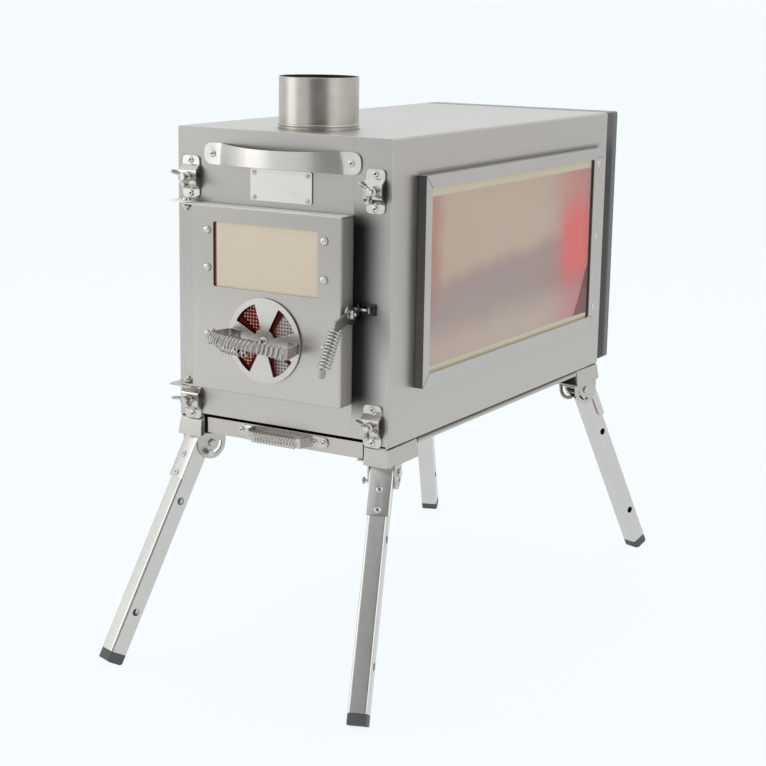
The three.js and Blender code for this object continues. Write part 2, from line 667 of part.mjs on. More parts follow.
// Cross-section rings carried along a path without twist, joined into one closed tube.
function wireTube(path, wire, sides = 5) {
  const positions = [];
  const index = [];
  const tangents = path.map((point, i) => {
    const next = path[Math.min(i + 1, path.length - 1)];
    const last = path[Math.max(i - 1, 0)];
    return next.clone().sub(last).normalize();
  });
  const normal = new THREE.Vector3().crossVectors(tangents[0], UNIT_X).normalize();
  path.forEach((point, i) => {
    if (i > 0) {
      const turn = new THREE.Quaternion().setFromUnitVectors(tangents[i - 1], tangents[i]);
      normal.applyQuaternion(turn).normalize();
    }
    const second = new THREE.Vector3().crossVectors(tangents[i], normal);
    for (let k = 0; k < sides; k += 1) {
      const angle = (2 * Math.PI * k) / sides;
      const spoke = normal.clone().multiplyScalar(Math.cos(angle)).addScaledVector(second, Math.sin(angle));
      const corner = point.clone().addScaledVector(spoke, wire / 2);
      positions.push(corner.x, corner.y, corner.z);
    }
  });
  for (let i = 0; i < path.length - 1; i += 1) {
    for (let k = 0; k < sides; k += 1) {
      const a = i * sides + k;
      const b = i * sides + ((k + 1) % sides);
      index.push(a, b, a + sides, b, b + sides, a + sides);
    }
  }
  const lastRing = (path.length - 1) * sides;
  for (let k = 1; k < sides - 1; k += 1) {
    index.push(0, k + 1, k);
    index.push(lastRing, lastRing + k, lastRing + k + 1);
  }
  const geometry = new THREE.BufferGeometry();
  geometry.setAttribute('position', new THREE.Float32BufferAttribute(positions, 3));
  geometry.setIndex(index);
  return geometry;
}

const CURL_STEPS = 8;

// A spring wound round the local X axis. Both ends turn in towards the strap, on its -Y face, and run
// straight at it.
function springPath({ from, to, turns, diameter, wire, seat }) {
  const radius = (diameter - wire) / 2;
  const spot = (along, angle, reach) =>
    new THREE.Vector3(along, -reach * Math.cos(angle), reach * Math.sin(angle));
  const steps = turns * CURL_STEPS;
  const shoulder = radius - wire * 0.8;
  const lead = (2 * Math.PI * 0.3) / CURL_STEPS;
  const path = [spot(from, 0, seat), spot(from, 0, shoulder), spot(from, lead, radius)];
  for (let i = 1; i < steps; i += 1) {
    path.push(spot(from + ((to - from) * i) / steps, (2 * Math.PI * i) / CURL_STEPS, radius));
  }
  path.push(spot(to, -lead, radius), spot(to, 0, shoulder), spot(to, 0, seat));
  return path;
}

// The least gap between turns that aren't neighbours along the wire, measured on its points.
function leastGap(path, wire) {
  let least = Infinity;
  for (let i = 0; i < path.length; i += 1) {
    for (let j = i + CURL_STEPS / 2; j < path.length; j += 1) {
      least = Math.min(least, path[i].distanceTo(path[j]) - wire);
    }
  }
  return least;
}

function addSpring(name, options, matrix, parent = stove) {
  const path = springPath(options);
  console.log(`${name}: least gap to itself ${leastGap(path, options.wire).toFixed(2)} mm`);
  const geometry = wireTube(path, options.wire);
  geometry.applyMatrix4(matrix);
  return addPart(name, toSolid(geometry), BRIGHT_STEEL, parent);
}

// ---------------------------------------------------------------- firebox body

function bodyShell() {
  const line = rounded([
    [-FLANGE_EDGE, BODY_BOTTOM],
    [-SIDE, BODY_BOTTOM, BODY_BEND],
    [-SIDE, BODY_TOP, BODY_BEND],
    [SIDE, BODY_TOP, BODY_BEND],
    [SIDE, BODY_BOTTOM, BODY_BEND],
    [FLANGE_EDGE, BODY_BOTTOM],
  ], 3, false);
  const sleeve = push('y', sheet(line.reverse(), BODY_SHEET), FRONT, REAR);
  const wall = rectangle(-SIDE, SIDE, BODY_BOTTOM, BODY_TOP, BODY_BEND);
  const rearWall = push('y', wall, REAR - BODY_SHEET, REAR);
  const flueHole = push('z', circle(0, FLUE_Y, FLUE_BORE / 2 + FLUE_WALL + GAP, ROUND_SIDES),
    BODY_TOP - BODY_SHEET - CUT_MARGIN, BODY_TOP + CUT_MARGIN);
  const windows = box(-SIDE - CUT_MARGIN, SIDE + CUT_MARGIN, SIDE_OPENING_FRONT, SIDE_OPENING_REAR,
    SIDE_OPENING_BOTTOM, SIDE_OPENING_TOP);
  return cutBy(sleeve.add(rearWall), [flueHole, windows]);
}

function hingeEar(bottom) {
  const front = HINGE_Y - EAR_RADIUS;
  const rear = HINGE_Y + EAR_RADIUS;
  const root = -PANEL_SIDE + PANEL_BEND / 2;
  const outline = rounded([
    [root, FRONT - GAP],
    [EAR_OUTER, FRONT - GAP],
    [EAR_OUTER, front, 3],
    [HINGE_X + EAR_RADIUS, front, EAR_RADIUS - 0.2],
    [HINGE_X + EAR_RADIUS, rear, EAR_RADIUS - 0.2],
    [EAR_ROOT, rear, 1.5],
    [EAR_ROOT, FRONT + PANEL_SHEET / 2],
    [root, FRONT + PANEL_SHEET / 2],
  ], 4);
  const hole = circle(HINGE_X, HINGE_Y, HINGE_PIN / 2 + PIN_PLAY, PIN_SIDES);
  return push('z', outline, bottom, bottom + HINGE_SHEET, [hole]);
}

function frontPanel() {
  const body = pan({
    x0: -PANEL_SIDE,
    x1: PANEL_SIDE,
    z0: PANEL_BOTTOM,
    z1: PANEL_TOP,
    face: FRONT,
    depth: PANEL_FLANGE,
    wall: PANEL_SHEET,
    bend: PANEL_BEND,
    corner: PANEL_BEND + 1,
  });
  const ears = [DOOR_TOP + GAP, DOOR_BOTTOM - GAP - HINGE_SHEET].map(hingeEar);
  const doorway = box(DOORWAY_LEFT, DOORWAY_RIGHT, FRONT - CUT_MARGIN, FRONT + PANEL_SHEET + CUT_MARGIN,
    DOORWAY_BOTTOM, DOORWAY_TOP);
  const notchSide = TRAY_WIDTH / 2 + TRAY_NOTCH_SIDE;
  const notch = box(-notchSide, notchSide, FRONT - CUT_MARGIN, FRONT + PANEL_SHEET + GAP,
    BODY_BOTTOM - CUT_MARGIN, TRAY_TOP + TRAY_NOTCH_TOP);
  const floorSide = FLANGE_EDGE + GAP;
  const flangeGap = box(-floorSide, floorSide, FRONT + PANEL_SHEET, PANEL_REAR + CUT_MARGIN,
    BODY_BOTTOM - CUT_MARGIN, FLOOR_TOP + GAP);
  return cutBy(joined([body, ...ears]), [doorway, notch, flangeGap]);
}

function rearCover() {
  const cover = pan({
    x0: -COVER_WIDTH / 2,
    x1: COVER_WIDTH / 2,
    z0: COVER_BOTTOM,
    z1: BODY_TOP,
    face: 0,
    depth: COVER_DEPTH,
    wall: COVER_SHEET,
    bend: COVER_BEND,
    corner: COVER_BEND + 1,
  });
  const turn = new THREE.Matrix4().makeRotationZ(Math.PI);
  return moved(cover, shift(0, REAR + GAP + COVER_DEPTH, 0).multiply(turn));
}

function floorPan() {
  const front = FRONT + PANEL_SHEET + 2 * GAP;
  const rear = REAR - BODY_SHEET - GAP;
  const line = rounded([
    [-CHANNEL_SIDE + CHANNEL_LIP, CHANNEL_BOTTOM],
    [-CHANNEL_SIDE - FLOOR_SHEET, CHANNEL_BOTTOM, 2],
    [-CHANNEL_SIDE - FLOOR_SHEET, FLOOR_TOP, 2],
    [CHANNEL_SIDE + FLOOR_SHEET, FLOOR_TOP, 2],
    [CHANNEL_SIDE + FLOOR_SHEET, CHANNEL_BOTTOM, 2],
    [CHANNEL_SIDE - CHANNEL_LIP, CHANNEL_BOTTOM],
  ], 2, false);
  const channel = push('y', sheet(line.reverse(), FLOOR_SHEET), front, rear);
  const shelfTop = BODY_BOTTOM - GAP;
  const shelfEnd = REAR - GUSSET_LENGTH - GUSSET_FLARE - 2 * GAP;
  const shelfLine = [
    [CHANNEL_SIDE + FLOOR_SHEET / 2, shelfTop],
    [SIDE, shelfTop],
    [SIDE, shelfTop - FLOOR_SHEET - FLOOR_SIDE_LIP],
  ];
  const shelf = push('y', sheet([...shelfLine].reverse(), FLOOR_SHEET), -shelfEnd, shelfEnd);
  const slots = [];
  for (const side of [-1, 1]) {
    for (let k = 0; k < ASH_SLOT_COUNT; k += 1) {
      const y = (k - (ASH_SLOT_COUNT - 1) / 2) * ASH_SLOT_PITCH;
      const x = side * ASH_SLOT_ROW;
      slots.push(box(x - ASH_SLOT_LENGTH / 2, x + ASH_SLOT_LENGTH / 2, y - ASH_SLOT_WIDTH / 2,
        y + ASH_SLOT_WIDTH / 2, FLOOR_TOP - FLOOR_SHEET - CUT_MARGIN, FLOOR_TOP + CUT_MARGIN));
    }
  }
  return cutBy(joined([channel, shelf, moved(shelf, MIRROR_X)]), slots);
}

function fireGrate() {
  const half = GRATE_WIDTH / 2;
  const bottom = FLOOR_TOP + GAP;
  const top = bottom + GRATE_HEIGHT;
  const line = rounded([
    [-half, bottom],
    [-half, top, GRATE_SHEET + 1],
    [half, top, GRATE_SHEET + 1],
    [half, bottom],
  ], 2, false);
  const plate = push('y', sheet(line.reverse(), GRATE_SHEET), -GRATE_LENGTH / 2, GRATE_LENGTH / 2);
  const slots = Array.from({ length: GRATE_SLOT_COUNT }, (_, k) => {
    const y = (k - (GRATE_SLOT_COUNT - 1) / 2) * GRATE_SLOT_PITCH;
    return box(-half + GRATE_SLOT_MARGIN, half - GRATE_SLOT_MARGIN, y - GRATE_SLOT_WIDTH / 2,
      y + GRATE_SLOT_WIDTH / 2, top - GRATE_SHEET - CUT_MARGIN, top + CUT_MARGIN);
  });
  return cutBy(plate, slots);
}

function smokeBaffle() {
  const side = INNER_SIDE - GAP;
  const line = rounded([
    [-side, BAFFLE_TOP + BAFFLE_FLANGE],
    [-side, BAFFLE_TOP, BAFFLE_SHEET + 1],
    [side, BAFFLE_TOP, BAFFLE_SHEET + 1],
    [side, BAFFLE_TOP + BAFFLE_FLANGE],
  ], 2, false);
  return push('y', sheet(line, BAFFLE_SHEET), BAFFLE_FRONT, BAFFLE_REAR);
}

function flueCollar() {
  const inner = FLUE_BORE / 2;
  const outer = inner + FLUE_WALL;
  const rim = BODY_TOP + GAP;
  const bead = BODY_TOP + FLUE_BEAD_HEIGHT;
  return turned([
    [inner, BODY_TOP - FLUE_BELOW_ROOF],
    [outer, BODY_TOP - FLUE_BELOW_ROOF],
    [outer, rim],
    [outer + FLUE_RIM, rim],
    [outer + FLUE_RIM, rim + FLUE_RIM_SHEET],
    [outer, rim + FLUE_RIM_SHEET],
    [outer, bead - FLUE_BEAD_HALF],
    [outer + FLUE_BEAD_RISE, bead - FLUE_BEAD_HALF / 2],
    [outer + FLUE_BEAD_RISE, bead + FLUE_BEAD_HALF / 2],
    [outer, bead + FLUE_BEAD_HALF],
    [outer, BODY_TOP + FLUE_HEIGHT],
    [inner, BODY_TOP + FLUE_HEIGHT],
    [inner, BODY_TOP - FLUE_BELOW_ROOF],
  ], ROUND_SIDES, [0, FLUE_Y, 0]);
}

addPart('body_shell', bodyShell(), STEEL);
addPart('front_panel', frontPanel(), STEEL);
addPart('rear_cover', rearCover(), STEEL);
addPart('floor_pan', floorPan(), STEEL);
addPart('fire_grate', fireGrate(), DARK_STEEL);
addPart('smoke_baffle', smokeBaffle(), STEEL);
addPart('flue_collar', flueCollar(), BRIGHT_STEEL);

// ---------------------------------------------------------------- side windows

// Three-sided channel: mitred face, upright outer wall and a fold behind the glass.
function windowFrame() {
  const base = SIDE + GAP;
  const top = SIDE + FRAME_PROUD;
  const outer = rectangle(FRAME_FRONT, FRAME_REAR, FRAME_BOTTOM, FRAME_TOP);
  const block = push('x', outer, base, top);
  const bottom = FRAME_BOTTOM + FRAME_SHEET;
  const ceiling = FRAME_TOP - FRAME_SHEET;
  const glassSlot = box(base + SIDE_GLASS_STANDOFF - GAP, top - FRAME_SHEET, FRAME_FRONT + FRAME_SHEET,
    FRAME_REAR + CUT_MARGIN, bottom, ceiling);
  const view = box(base - CUT_MARGIN, top + CUT_MARGIN, FRAME_FRONT + FRAME_FACE, FRAME_REAR + CUT_MARGIN,
    FRAME_BOTTOM + FRAME_FACE, FRAME_TOP - FRAME_FACE);
  const foldOpening = box(base - CUT_MARGIN, base + SIDE_GLASS_STANDOFF, FRAME_FRONT + SEAL_WIDTH,
    FRAME_REAR + CUT_MARGIN, FRAME_BOTTOM + SEAL_WIDTH, FRAME_TOP - SEAL_WIDTH);
  const rampStart = FRAME_REAR - FRAME_RAMP;
  const ramp = push('z', [
    [top + CUT_MARGIN, rampStart],
    [top, rampStart],
    [base, FRAME_REAR],
    [top + CUT_MARGIN, FRAME_REAR + CUT_MARGIN],
  ], FRAME_BOTTOM - CUT_MARGIN, FRAME_TOP + CUT_MARGIN);
  return cutBy(block, [glassSlot, view, foldOpening, ramp]);
}

function windowGlass() {
  const inner = SIDE + GAP + SIDE_GLASS_STANDOFF;
  const edge = FRAME_SHEET + GAP;
  const outline = rectangle(FRAME_FRONT + edge, SIDE_GLASS_REAR, FRAME_BOTTOM + edge, FRAME_TOP - edge);
  return push('x', outline, inner, inner + SIDE_GLASS);
}

// Folded strip that holds the rear edge of the glass, drawn in (x, y).
function glassStrip() {
  const low = SIDE + GAP;
  const high = SIDE + GAP + SIDE_GLASS_STANDOFF + SIDE_GLASS + GAP;
  const crestEnd = STRIP_FRONT + STRIP_CREST;
  const line = rounded([
    [high, STRIP_FRONT],
    [high, crestEnd, 2],
    [low, crestEnd + STRIP_SLOPE, 2],
    [low, STRIP_REAR],
  ], 2, false);
  const bottom = FRAME_BOTTOM + FRAME_FACE + GAP;
  const top = FRAME_TOP - FRAME_FACE - GAP;
  const strip = push('z', sheet([...line].reverse(), STRIP_SHEET), bottom, top);
  const rivets = STRIP_RIVETS.map((z) => rivet([low + STRIP_SHEET, STRIP_RIVET_Y, z], UNIT_X));
  return joined([strip, ...rivets]);
}

for (const [hand, place] of [['right', new THREE.Matrix4()], ['left', MIRROR_X]]) {
  addPart(`window_frame_${hand}`, moved(windowFrame(), place), STEEL);
  addPart(`window_glass_${hand}`, moved(windowGlass(), place), GLASS);
  addPart(`glass_strip_${hand}`, moved(glassStrip(), place), STEEL);
}

// ---------------------------------------------------------------- door

// Four ring sectors on the diagonals, drawn in (x, z) round the vent's centre.
function ventSectors(turn, y0, y1) {
  return Array.from({ length: SECTOR_COUNT }, (_, k) => {
    const middle = 45 + (360 * k) / SECTOR_COUNT + turn;
    const from = middle - SECTOR_SPAN / 2;
    const to = middle + SECTOR_SPAN / 2;
    const outline = [...arc(0, 0, SECTOR_OUTER, from, to, 4), ...arc(0, 0, SECTOR_INNER, to, from, 1)];
    return push('y', outline, y0, y1);
  });
}

const atVent = (solid) => moved(solid, shift(VENT_X, 0, VENT_Z));

function hingeLug(bottom) {
  const outline = [
    [DOOR_LEFT + DOOR_SHEET / 2, HINGE_Y - LUG_RADIUS],
    [DOOR_LEFT + DOOR_SHEET / 2, HINGE_Y + LUG_RADIUS],
    ...arc(HINGE_X, HINGE_Y, LUG_RADIUS, 90, 270, 6),
  ];
  const hole = circle(HINGE_X, HINGE_Y, HINGE_PIN / 2 + PIN_PLAY, PIN_SIDES);
  return push('z', outline, bottom, bottom + HINGE_SHEET, [hole]);
}

const retainerScrews = RETAINER_SCREW_HEIGHTS.flatMap((z) =>
  [-1, 1].map((side) => [DOOR_MIDDLE + side * RETAINER_SCREW_SIDE, z]));

function doorShell() {
  const shell = pan({
    x0: DOOR_LEFT,
    x1: DOOR_RIGHT,
    z0: DOOR_BOTTOM,
    z1: DOOR_TOP,
    face: DOOR_FACE,
    depth: DOOR_DEPTH,
    wall: DOOR_SHEET,
    bend: DOOR_BEND,
    corner: DOOR_CORNER,
  });
  const lugs = [DOOR_TOP - HINGE_SHEET, DOOR_BOTTOM].map(hingeLug);
  const y0 = DOOR_FACE - CUT_MARGIN;
  const y1 = DOOR_INNER + CUT_MARGIN;
  const pane = push('y', rectangle(PANE_LEFT, PANE_RIGHT, PANE_BOTTOM, PANE_TOP, PANE_CORNER), y0, y1);
  const vents = ventSectors(DOOR_SECTOR_TURN, y0, y1).map(atVent);
  const pinHole = atVent(push('y', circle(0, 0, VENT_PIN / 2 + PIN_PLAY, PIN_SIDES), y0, y1));
  const screwHoles = retainerScrews.map(([x, z]) => push('y', circle(x, z, 2 + PIN_PLAY, PIN_SIDES), y0, y1));
  const boltHole = push('x', circle(LATCH_Y, LATCH_Z, LATCH_PIN / 2 + PIN_PLAY, PIN_SIDES),
    DOOR_RIGHT - DOOR_SHEET - CUT_MARGIN, DOOR_RIGHT + CUT_MARGIN);
  return cutBy(joined([shell, ...lugs]), [pane, ...vents, pinHole, ...screwHoles, boltHole]);
}

function doorGlass() {
  const outline = rectangle(PANE_LEFT - PANE_OVERLAP_SIDE, PANE_RIGHT + PANE_OVERLAP_SIDE,
    PANE_BOTTOM - PANE_OVERLAP_END, PANE_TOP + PANE_OVERLAP_END);
  return push('y', outline, DOOR_INNER + GAP, DOOR_INNER + GAP + DOOR_GLASS);
}

// Plate behind the glass and the vent's screen; its six screws come through the door's face.
function glassRetainer() {
  const front = DOOR_INNER + 2 * GAP + DOOR_GLASS;
  const view = rectangle(PANE_LEFT, PANE_RIGHT, PANE_BOTTOM, PANE_TOP);
  const ventHole = circle(VENT_X, VENT_Z, SECTOR_OUTER + 1, 24);
  const outline = rectangle(DOOR_MIDDLE - RETAINER_SIDE, DOOR_MIDDLE + RETAINER_SIDE, RETAINER_BOTTOM,
    RETAINER_TOP);
  const plate = push('y', outline, front, front + RETAINER_SHEET, [view, ventHole]);
  const seat = DOOR_FACE - GAP;
  const screws = retainerScrews.map(([x, z]) => turned([
    [0, front + 1 - seat],
    [2, front + 1 - seat],
    [2, 0],
    [4, 0],
    [3.4, -1.3],
    [1.4, -1.9],
    [0, -1.9],
  ], RIVET_SIDES, [x, seat, z], UNIT_Y));
  return joined([plate, ...screws]);
}

// The perforated sheet has its holes only where the air sectors are.
function sparkScreen() {
  const front = DOOR_INNER + GAP;
  const outline = rectangle(-SCREEN_HALF, SCREEN_HALF, -SCREEN_HALF, SCREEN_HALF - 1);
  const holes = [];
  const reach = Math.floor(SECTOR_OUTER / SCREEN_PITCH);
  for (let i = -reach; i <= reach; i += 1) {
    for (let j = -reach; j <= reach; j += 1) {
      const distance = Math.hypot(i, j) * SCREEN_PITCH;
      const inRing = distance > SECTOR_INNER && distance < SECTOR_OUTER - SCREEN_HOLE / 2;
      if (inRing) holes.push(circle(i * SCREEN_PITCH, j * SCREEN_PITCH, SCREEN_HOLE / 2, 6));
    }
  }
  holes.push(circle(0, 0, VENT_PIN / 2 + PIN_PLAY, PIN_SIDES));
  return atVent(push('y', outline, front, front + SCREEN_SHEET, holes));
}

addPart('door_shell', doorShell(), STEEL);
addPart('door_glass', doorGlass(), GLASS);
addPart('door_glass_retainer', glassRetainer(), STEEL);
addPart('spark_screen', sparkScreen(), SCREEN_STEEL);

// ---------------------------------------------------------------- rotary air vent

const vent = new THREE.Group();
vent.position.set(VENT_X, DOOR_FACE, VENT_Z);
vent.rotation.y = radians(VENT_REST_TURN);
stove.add(vent);

const DISC_REAR = -VENT_STANDOFF;
const DISC_FRONT = DISC_REAR - VENT_SHEET;

function ventDisc() {
  const hole = circle(0, 0, VENT_PIN / 2 + PIN_PLAY, PIN_SIDES);
  const disc = push('y', circle(0, 0, VENT_RADIUS, ROUND_SIDES), DISC_FRONT, DISC_REAR, [hole]);
  return cutBy(disc, ventSectors(0, DISC_FRONT - CUT_MARGIN, DISC_REAR + CUT_MARGIN));
}

// One strap: a foot on each side of the disc, legs that lean out and a straight bar, drawn in (x, y).
function ventHandle() {
  const foot = DISC_FRONT - GAP - VENT_STRAP_SHEET;
  const half = VENT_STRAP_WIDTH / 2;
  const bar = -VENT_BAR_REACH + VENT_STRAP_SHEET;
  const line = rounded([
    [VENT_FOOT_INNER, foot],
    [VENT_FOOT_OUTER, foot, VENT_STRAP_BEND],
    [VENT_BAR_HALF - VENT_STRAP_SHEET, bar, VENT_STRAP_BEND],
    [-VENT_BAR_HALF + VENT_STRAP_SHEET, bar, VENT_STRAP_BEND],
    [-VENT_FOOT_OUTER, foot, VENT_STRAP_BEND],
    [-VENT_FOOT_INNER, foot],
  ], 3, false);
  return push('z', sheet(line, VENT_STRAP_SHEET), -half, half);
}

function ventRivet() {
  const head = DISC_FRONT - GAP;
  const tail = DOOR_SHEET + 2 * GAP + SCREEN_SHEET;
  return turned([
    [0, tail + 1.5],
    [VENT_HEAD / 2 - 1, tail + 1.5],
    [VENT_HEAD / 2 - 1, tail],
    [VENT_PIN / 2, tail],
    [VENT_PIN / 2, head],
    [VENT_HEAD / 2, head],
    [VENT_HEAD / 2 - 1.4, head - VENT_HEAD_HEIGHT],
    [1.4, head - VENT_HEAD_HEIGHT],
    [1.1, head - VENT_HEAD_HEIGHT + 0.8],
    [0, head - VENT_HEAD_HEIGHT + 0.8],
  ], PIN_SIDES, [VENT_X, DOOR_FACE, VENT_Z], UNIT_Y);
}

addPart('vent_disc', ventDisc(), STEEL, vent);
addPart('vent_handle', ventHandle(), STEEL, vent);
addSpring('vent_spring', {
  from: VENT_COIL_LEFT,
  to: VENT_COIL_RIGHT,
  turns: VENT_COIL_TURNS,
  diameter: VENT_COIL_DIAMETER,
  wire: VENT_COIL_WIRE,
  seat: VENT_STRAP_SHEET / 2 + GAP,
}, shift(0, -VENT_BAR_REACH + VENT_STRAP_SHEET / 2, 0), vent);
addPart('vent_rivet', ventRivet(), BRIGHT_STEEL);

// ---------------------------------------------------------------- hinge bolts

// Bolt pointing up from its head: ear, lug, nut, tip.
function hingeBolt() {
  const grip = 2 * HINGE_SHEET + 3 * GAP;
  const head = HINGE_HEAD / 2;
  const pin = HINGE_PIN / 2;
  return turned([
    [0, -HINGE_HEAD_HEIGHT],
    [head - 0.8, -HINGE_HEAD_HEIGHT],
    [head, -HINGE_HEAD_HEIGHT + 0.8],
    [head, 0],
    [pin, 0],
    [pin, grip],
    [head, grip],
    [head, grip + HINGE_NUT_HEIGHT],
    [pin, grip + HINGE_NUT_HEIGHT],
    [pin, grip + HINGE_NUT_HEIGHT + HINGE_TIP],
    [0, grip + HINGE_NUT_HEIGHT + HINGE_TIP],
  ], PIN_SIDES);
}

const upperBolt = addPart('hinge_bolt_upper', hingeBolt(), BRIGHT_STEEL);
upperBolt.rotation.x = Math.PI;
upperBolt.position.set(HINGE_X, HINGE_Y, DOOR_TOP + HINGE_SHEET + 2 * GAP);
const lowerBolt = addPart('hinge_bolt_lower', hingeBolt(), BRIGHT_STEEL);
lowerBolt.position.set(HINGE_X, HINGE_Y, DOOR_BOTTOM - HINGE_SHEET - 2 * GAP);

// ---------------------------------------------------------------- latch

const gripDirection = (angle) => [Math.cos(radians(angle)), Math.sin(radians(angle))];

// Lever plate in (y, z) from its pivot: hooked head, arm, elbow and a narrow grip with a wide end.
function latchLever() {
  const [gripY, gripZ] = gripDirection(LATCH_GRIP_ANGLE);
  const [elbowY, elbowZ] = LATCH_ELBOW;
  const endY = elbowY + gripY * LATCH_GRIP_LENGTH;
  const endZ = elbowZ + gripZ * LATCH_GRIP_LENGTH;
  const centred = (line, width) => {
    const ribbon = push('x', sheet(line, width), 0, LATCH_PLATE);
    const [[y0, z0], [y1, z1]] = [line[0], line[1]];
    const run = Math.hypot(y1 - y0, z1 - z0);
    return moved(ribbon, shift(0, ((z1 - z0) / run) * (width / 2), (-(y1 - y0) / run) * (width / 2)));
  };
  const arm = centred([[0, 0], [elbowY, elbowZ]], LATCH_ARM_WIDTH);
  const grip = centred([[elbowY, elbowZ], [endY, endZ]], LATCH_GRIP_WIDTH);
  const elbow = push('x', circle(elbowY, elbowZ, LATCH_ARM_WIDTH / 2, 12), 0, LATCH_PLATE);
  const end = push('x', circle(endY, endZ, LATCH_ARM_WIDTH / 2, 12), 0, LATCH_PLATE);
  const head = push('x', circle(0, 0, LATCH_HEAD_RADIUS, 20), 0, LATCH_PLATE);
  const hole = push('x', circle(0, 0, LATCH_PIN / 2 + PIN_PLAY, PIN_SIDES), -CUT_MARGIN, LATCH_PLATE + CUT_MARGIN);
  const pinY = KEEPER_PIN_Y - LATCH_Y;
  const pinZ = KEEPER_PIN_Z - LATCH_Z;
  const room = KEEPER_PIN / 2 + GAP + 0.05;
  const ring = Math.hypot(pinY, pinZ);
  const at = THREE.MathUtils.radToDeg(Math.atan2(pinZ, pinY));
  const sweepEnd = at + 82;
  const track = push('x', [
    ...arc(0, 0, ring - room, at - 4, sweepEnd, 8),
    ...arc(0, 0, LATCH_HEAD_RADIUS + CUT_MARGIN, sweepEnd, at - 4, 8),
  ], -CUT_MARGIN, LATCH_PLATE + CUT_MARGIN);
  const mouth = box(-CUT_MARGIN, LATCH_PLATE + CUT_MARGIN, pinY - room, LATCH_HEAD_RADIUS + CUT_MARGIN,
    pinZ - room, LATCH_HEAD_RADIUS + CUT_MARGIN);
  const lever = joined([arm, grip, elbow, end, head]);
  return cutBy(lever, [hole, track, mouth]);
}

const latch = new THREE.Group();
latch.position.set(LATCH_X, LATCH_Y, LATCH_Z);
stove.add(latch);
addPart('latch_lever', latchLever(), STEEL, latch);

function latchSpringPlace() {
  const [gripY, gripZ] = gripDirection(LATCH_GRIP_ANGLE);
  const along = new THREE.Vector3(0, gripY, gripZ);
  const face = new THREE.Vector3(-1, 0, 0);
  const across = new THREE.Vector3().crossVectors(along, face);
  const [elbowY, elbowZ] = LATCH_ELBOW;
  return shift(LATCH_PLATE / 2, elbowY, elbowZ).multiply(new THREE.Matrix4().makeBasis(along, face, across));
}

addSpring('latch_spring', {
  from: LATCH_COIL_START,
  to: LATCH_COIL_START + LATCH_COIL_LENGTH,
  turns: LATCH_COIL_TURNS,
  diameter: LATCH_COIL_DIAMETER,
  wire: LATCH_COIL_WIRE,
  seat: LATCH_PLATE / 2 + GAP,
}, latchSpringPlace(), latch);

// Bolt along X: nut inside the door, washer, lever, head outside.
function latchBolt() {
  const pin = LATCH_PIN / 2;
  const nutEnd = -LATCH_OFFSET - DOOR_SHEET - GAP;
  const head = LATCH_PLATE + GAP;
  return turned([
    [0, nutEnd - 5],
    [pin, nutEnd - 5],
    [pin, nutEnd - 4],
    [pin + 2, nutEnd - 4],
    [pin + 2, nutEnd],
    [pin, nutEnd],
    [pin, -LATCH_OFFSET + GAP],
    [LATCH_WASHER / 2, -LATCH_OFFSET + GAP],
    [LATCH_WASHER / 2, -GAP],
    [pin, -GAP],
    [pin, head],
    [LATCH_BOLT_HEAD / 2, head],
    [LATCH_BOLT_HEAD / 2, head + LATCH_BOLT_HEAD_HEIGHT - 1],
    [LATCH_BOLT_HEAD / 2 - 1, head + LATCH_BOLT_HEAD_HEIGHT],
    [0, head + LATCH_BOLT_HEAD_HEIGHT],
  ], PIN_SIDES, [LATCH_X, LATCH_Y, LATCH_Z], UNIT_X);
}

// Angle bracket on the panel whose headed pin stops the lever's hook.
function latchKeeper() {
  const seat = FRONT - GAP;
  const line = rounded([
    [KEEPER_TAB_X, seat - KEEPER_TAB_REACH],
    [KEEPER_TAB_X, seat, 2],
    [KEEPER_TAB_X + KEEPER_FOOT, seat],
  ], 2, false);
  const tabBottom = KEEPER_PIN_Z - KEEPER_TAB_HEIGHT / 2;
  const tab = push('z', sheet([...line].reverse(), KEEPER_SHEET), tabBottom, tabBottom + KEEPER_TAB_HEIGHT);
  const pin = rod(KEEPER_PIN / 2, KEEPER_PIN_TIP, KEEPER_PIN_HEAD - 1, PIN_SIDES, [0, KEEPER_PIN_Y, KEEPER_PIN_Z],
    UNIT_X);
  const head = rod(KEEPER_HEAD / 2, KEEPER_PIN_HEAD - 2, KEEPER_PIN_HEAD, PIN_SIDES,
    [0, KEEPER_PIN_Y - 1, KEEPER_PIN_Z], UNIT_X);
  return joined([tab, pin, head]);
}

addPart('latch_bolt', latchBolt(), BRIGHT_STEEL);
addPart('latch_keeper', latchKeeper(), BRIGHT_STEEL);

// ---------------------------------------------------------------- ash tray

function ashTray() {
  const half = TRAY_WIDTH / 2;
  const outer = box(-half, half, TRAY_FRONT, TRAY_FRONT + TRAY_LENGTH, TRAY_BOTTOM, TRAY_TOP);
  const inner = box(-half + TRAY_SHEET, half - TRAY_SHEET, TRAY_FRONT + TRAY_SHEET,
    TRAY_FRONT + TRAY_LENGTH - TRAY_SHEET, TRAY_BOTTOM + TRAY_SHEET, TRAY_TOP + CUT_MARGIN);
  return outer.subtract(inner);
}

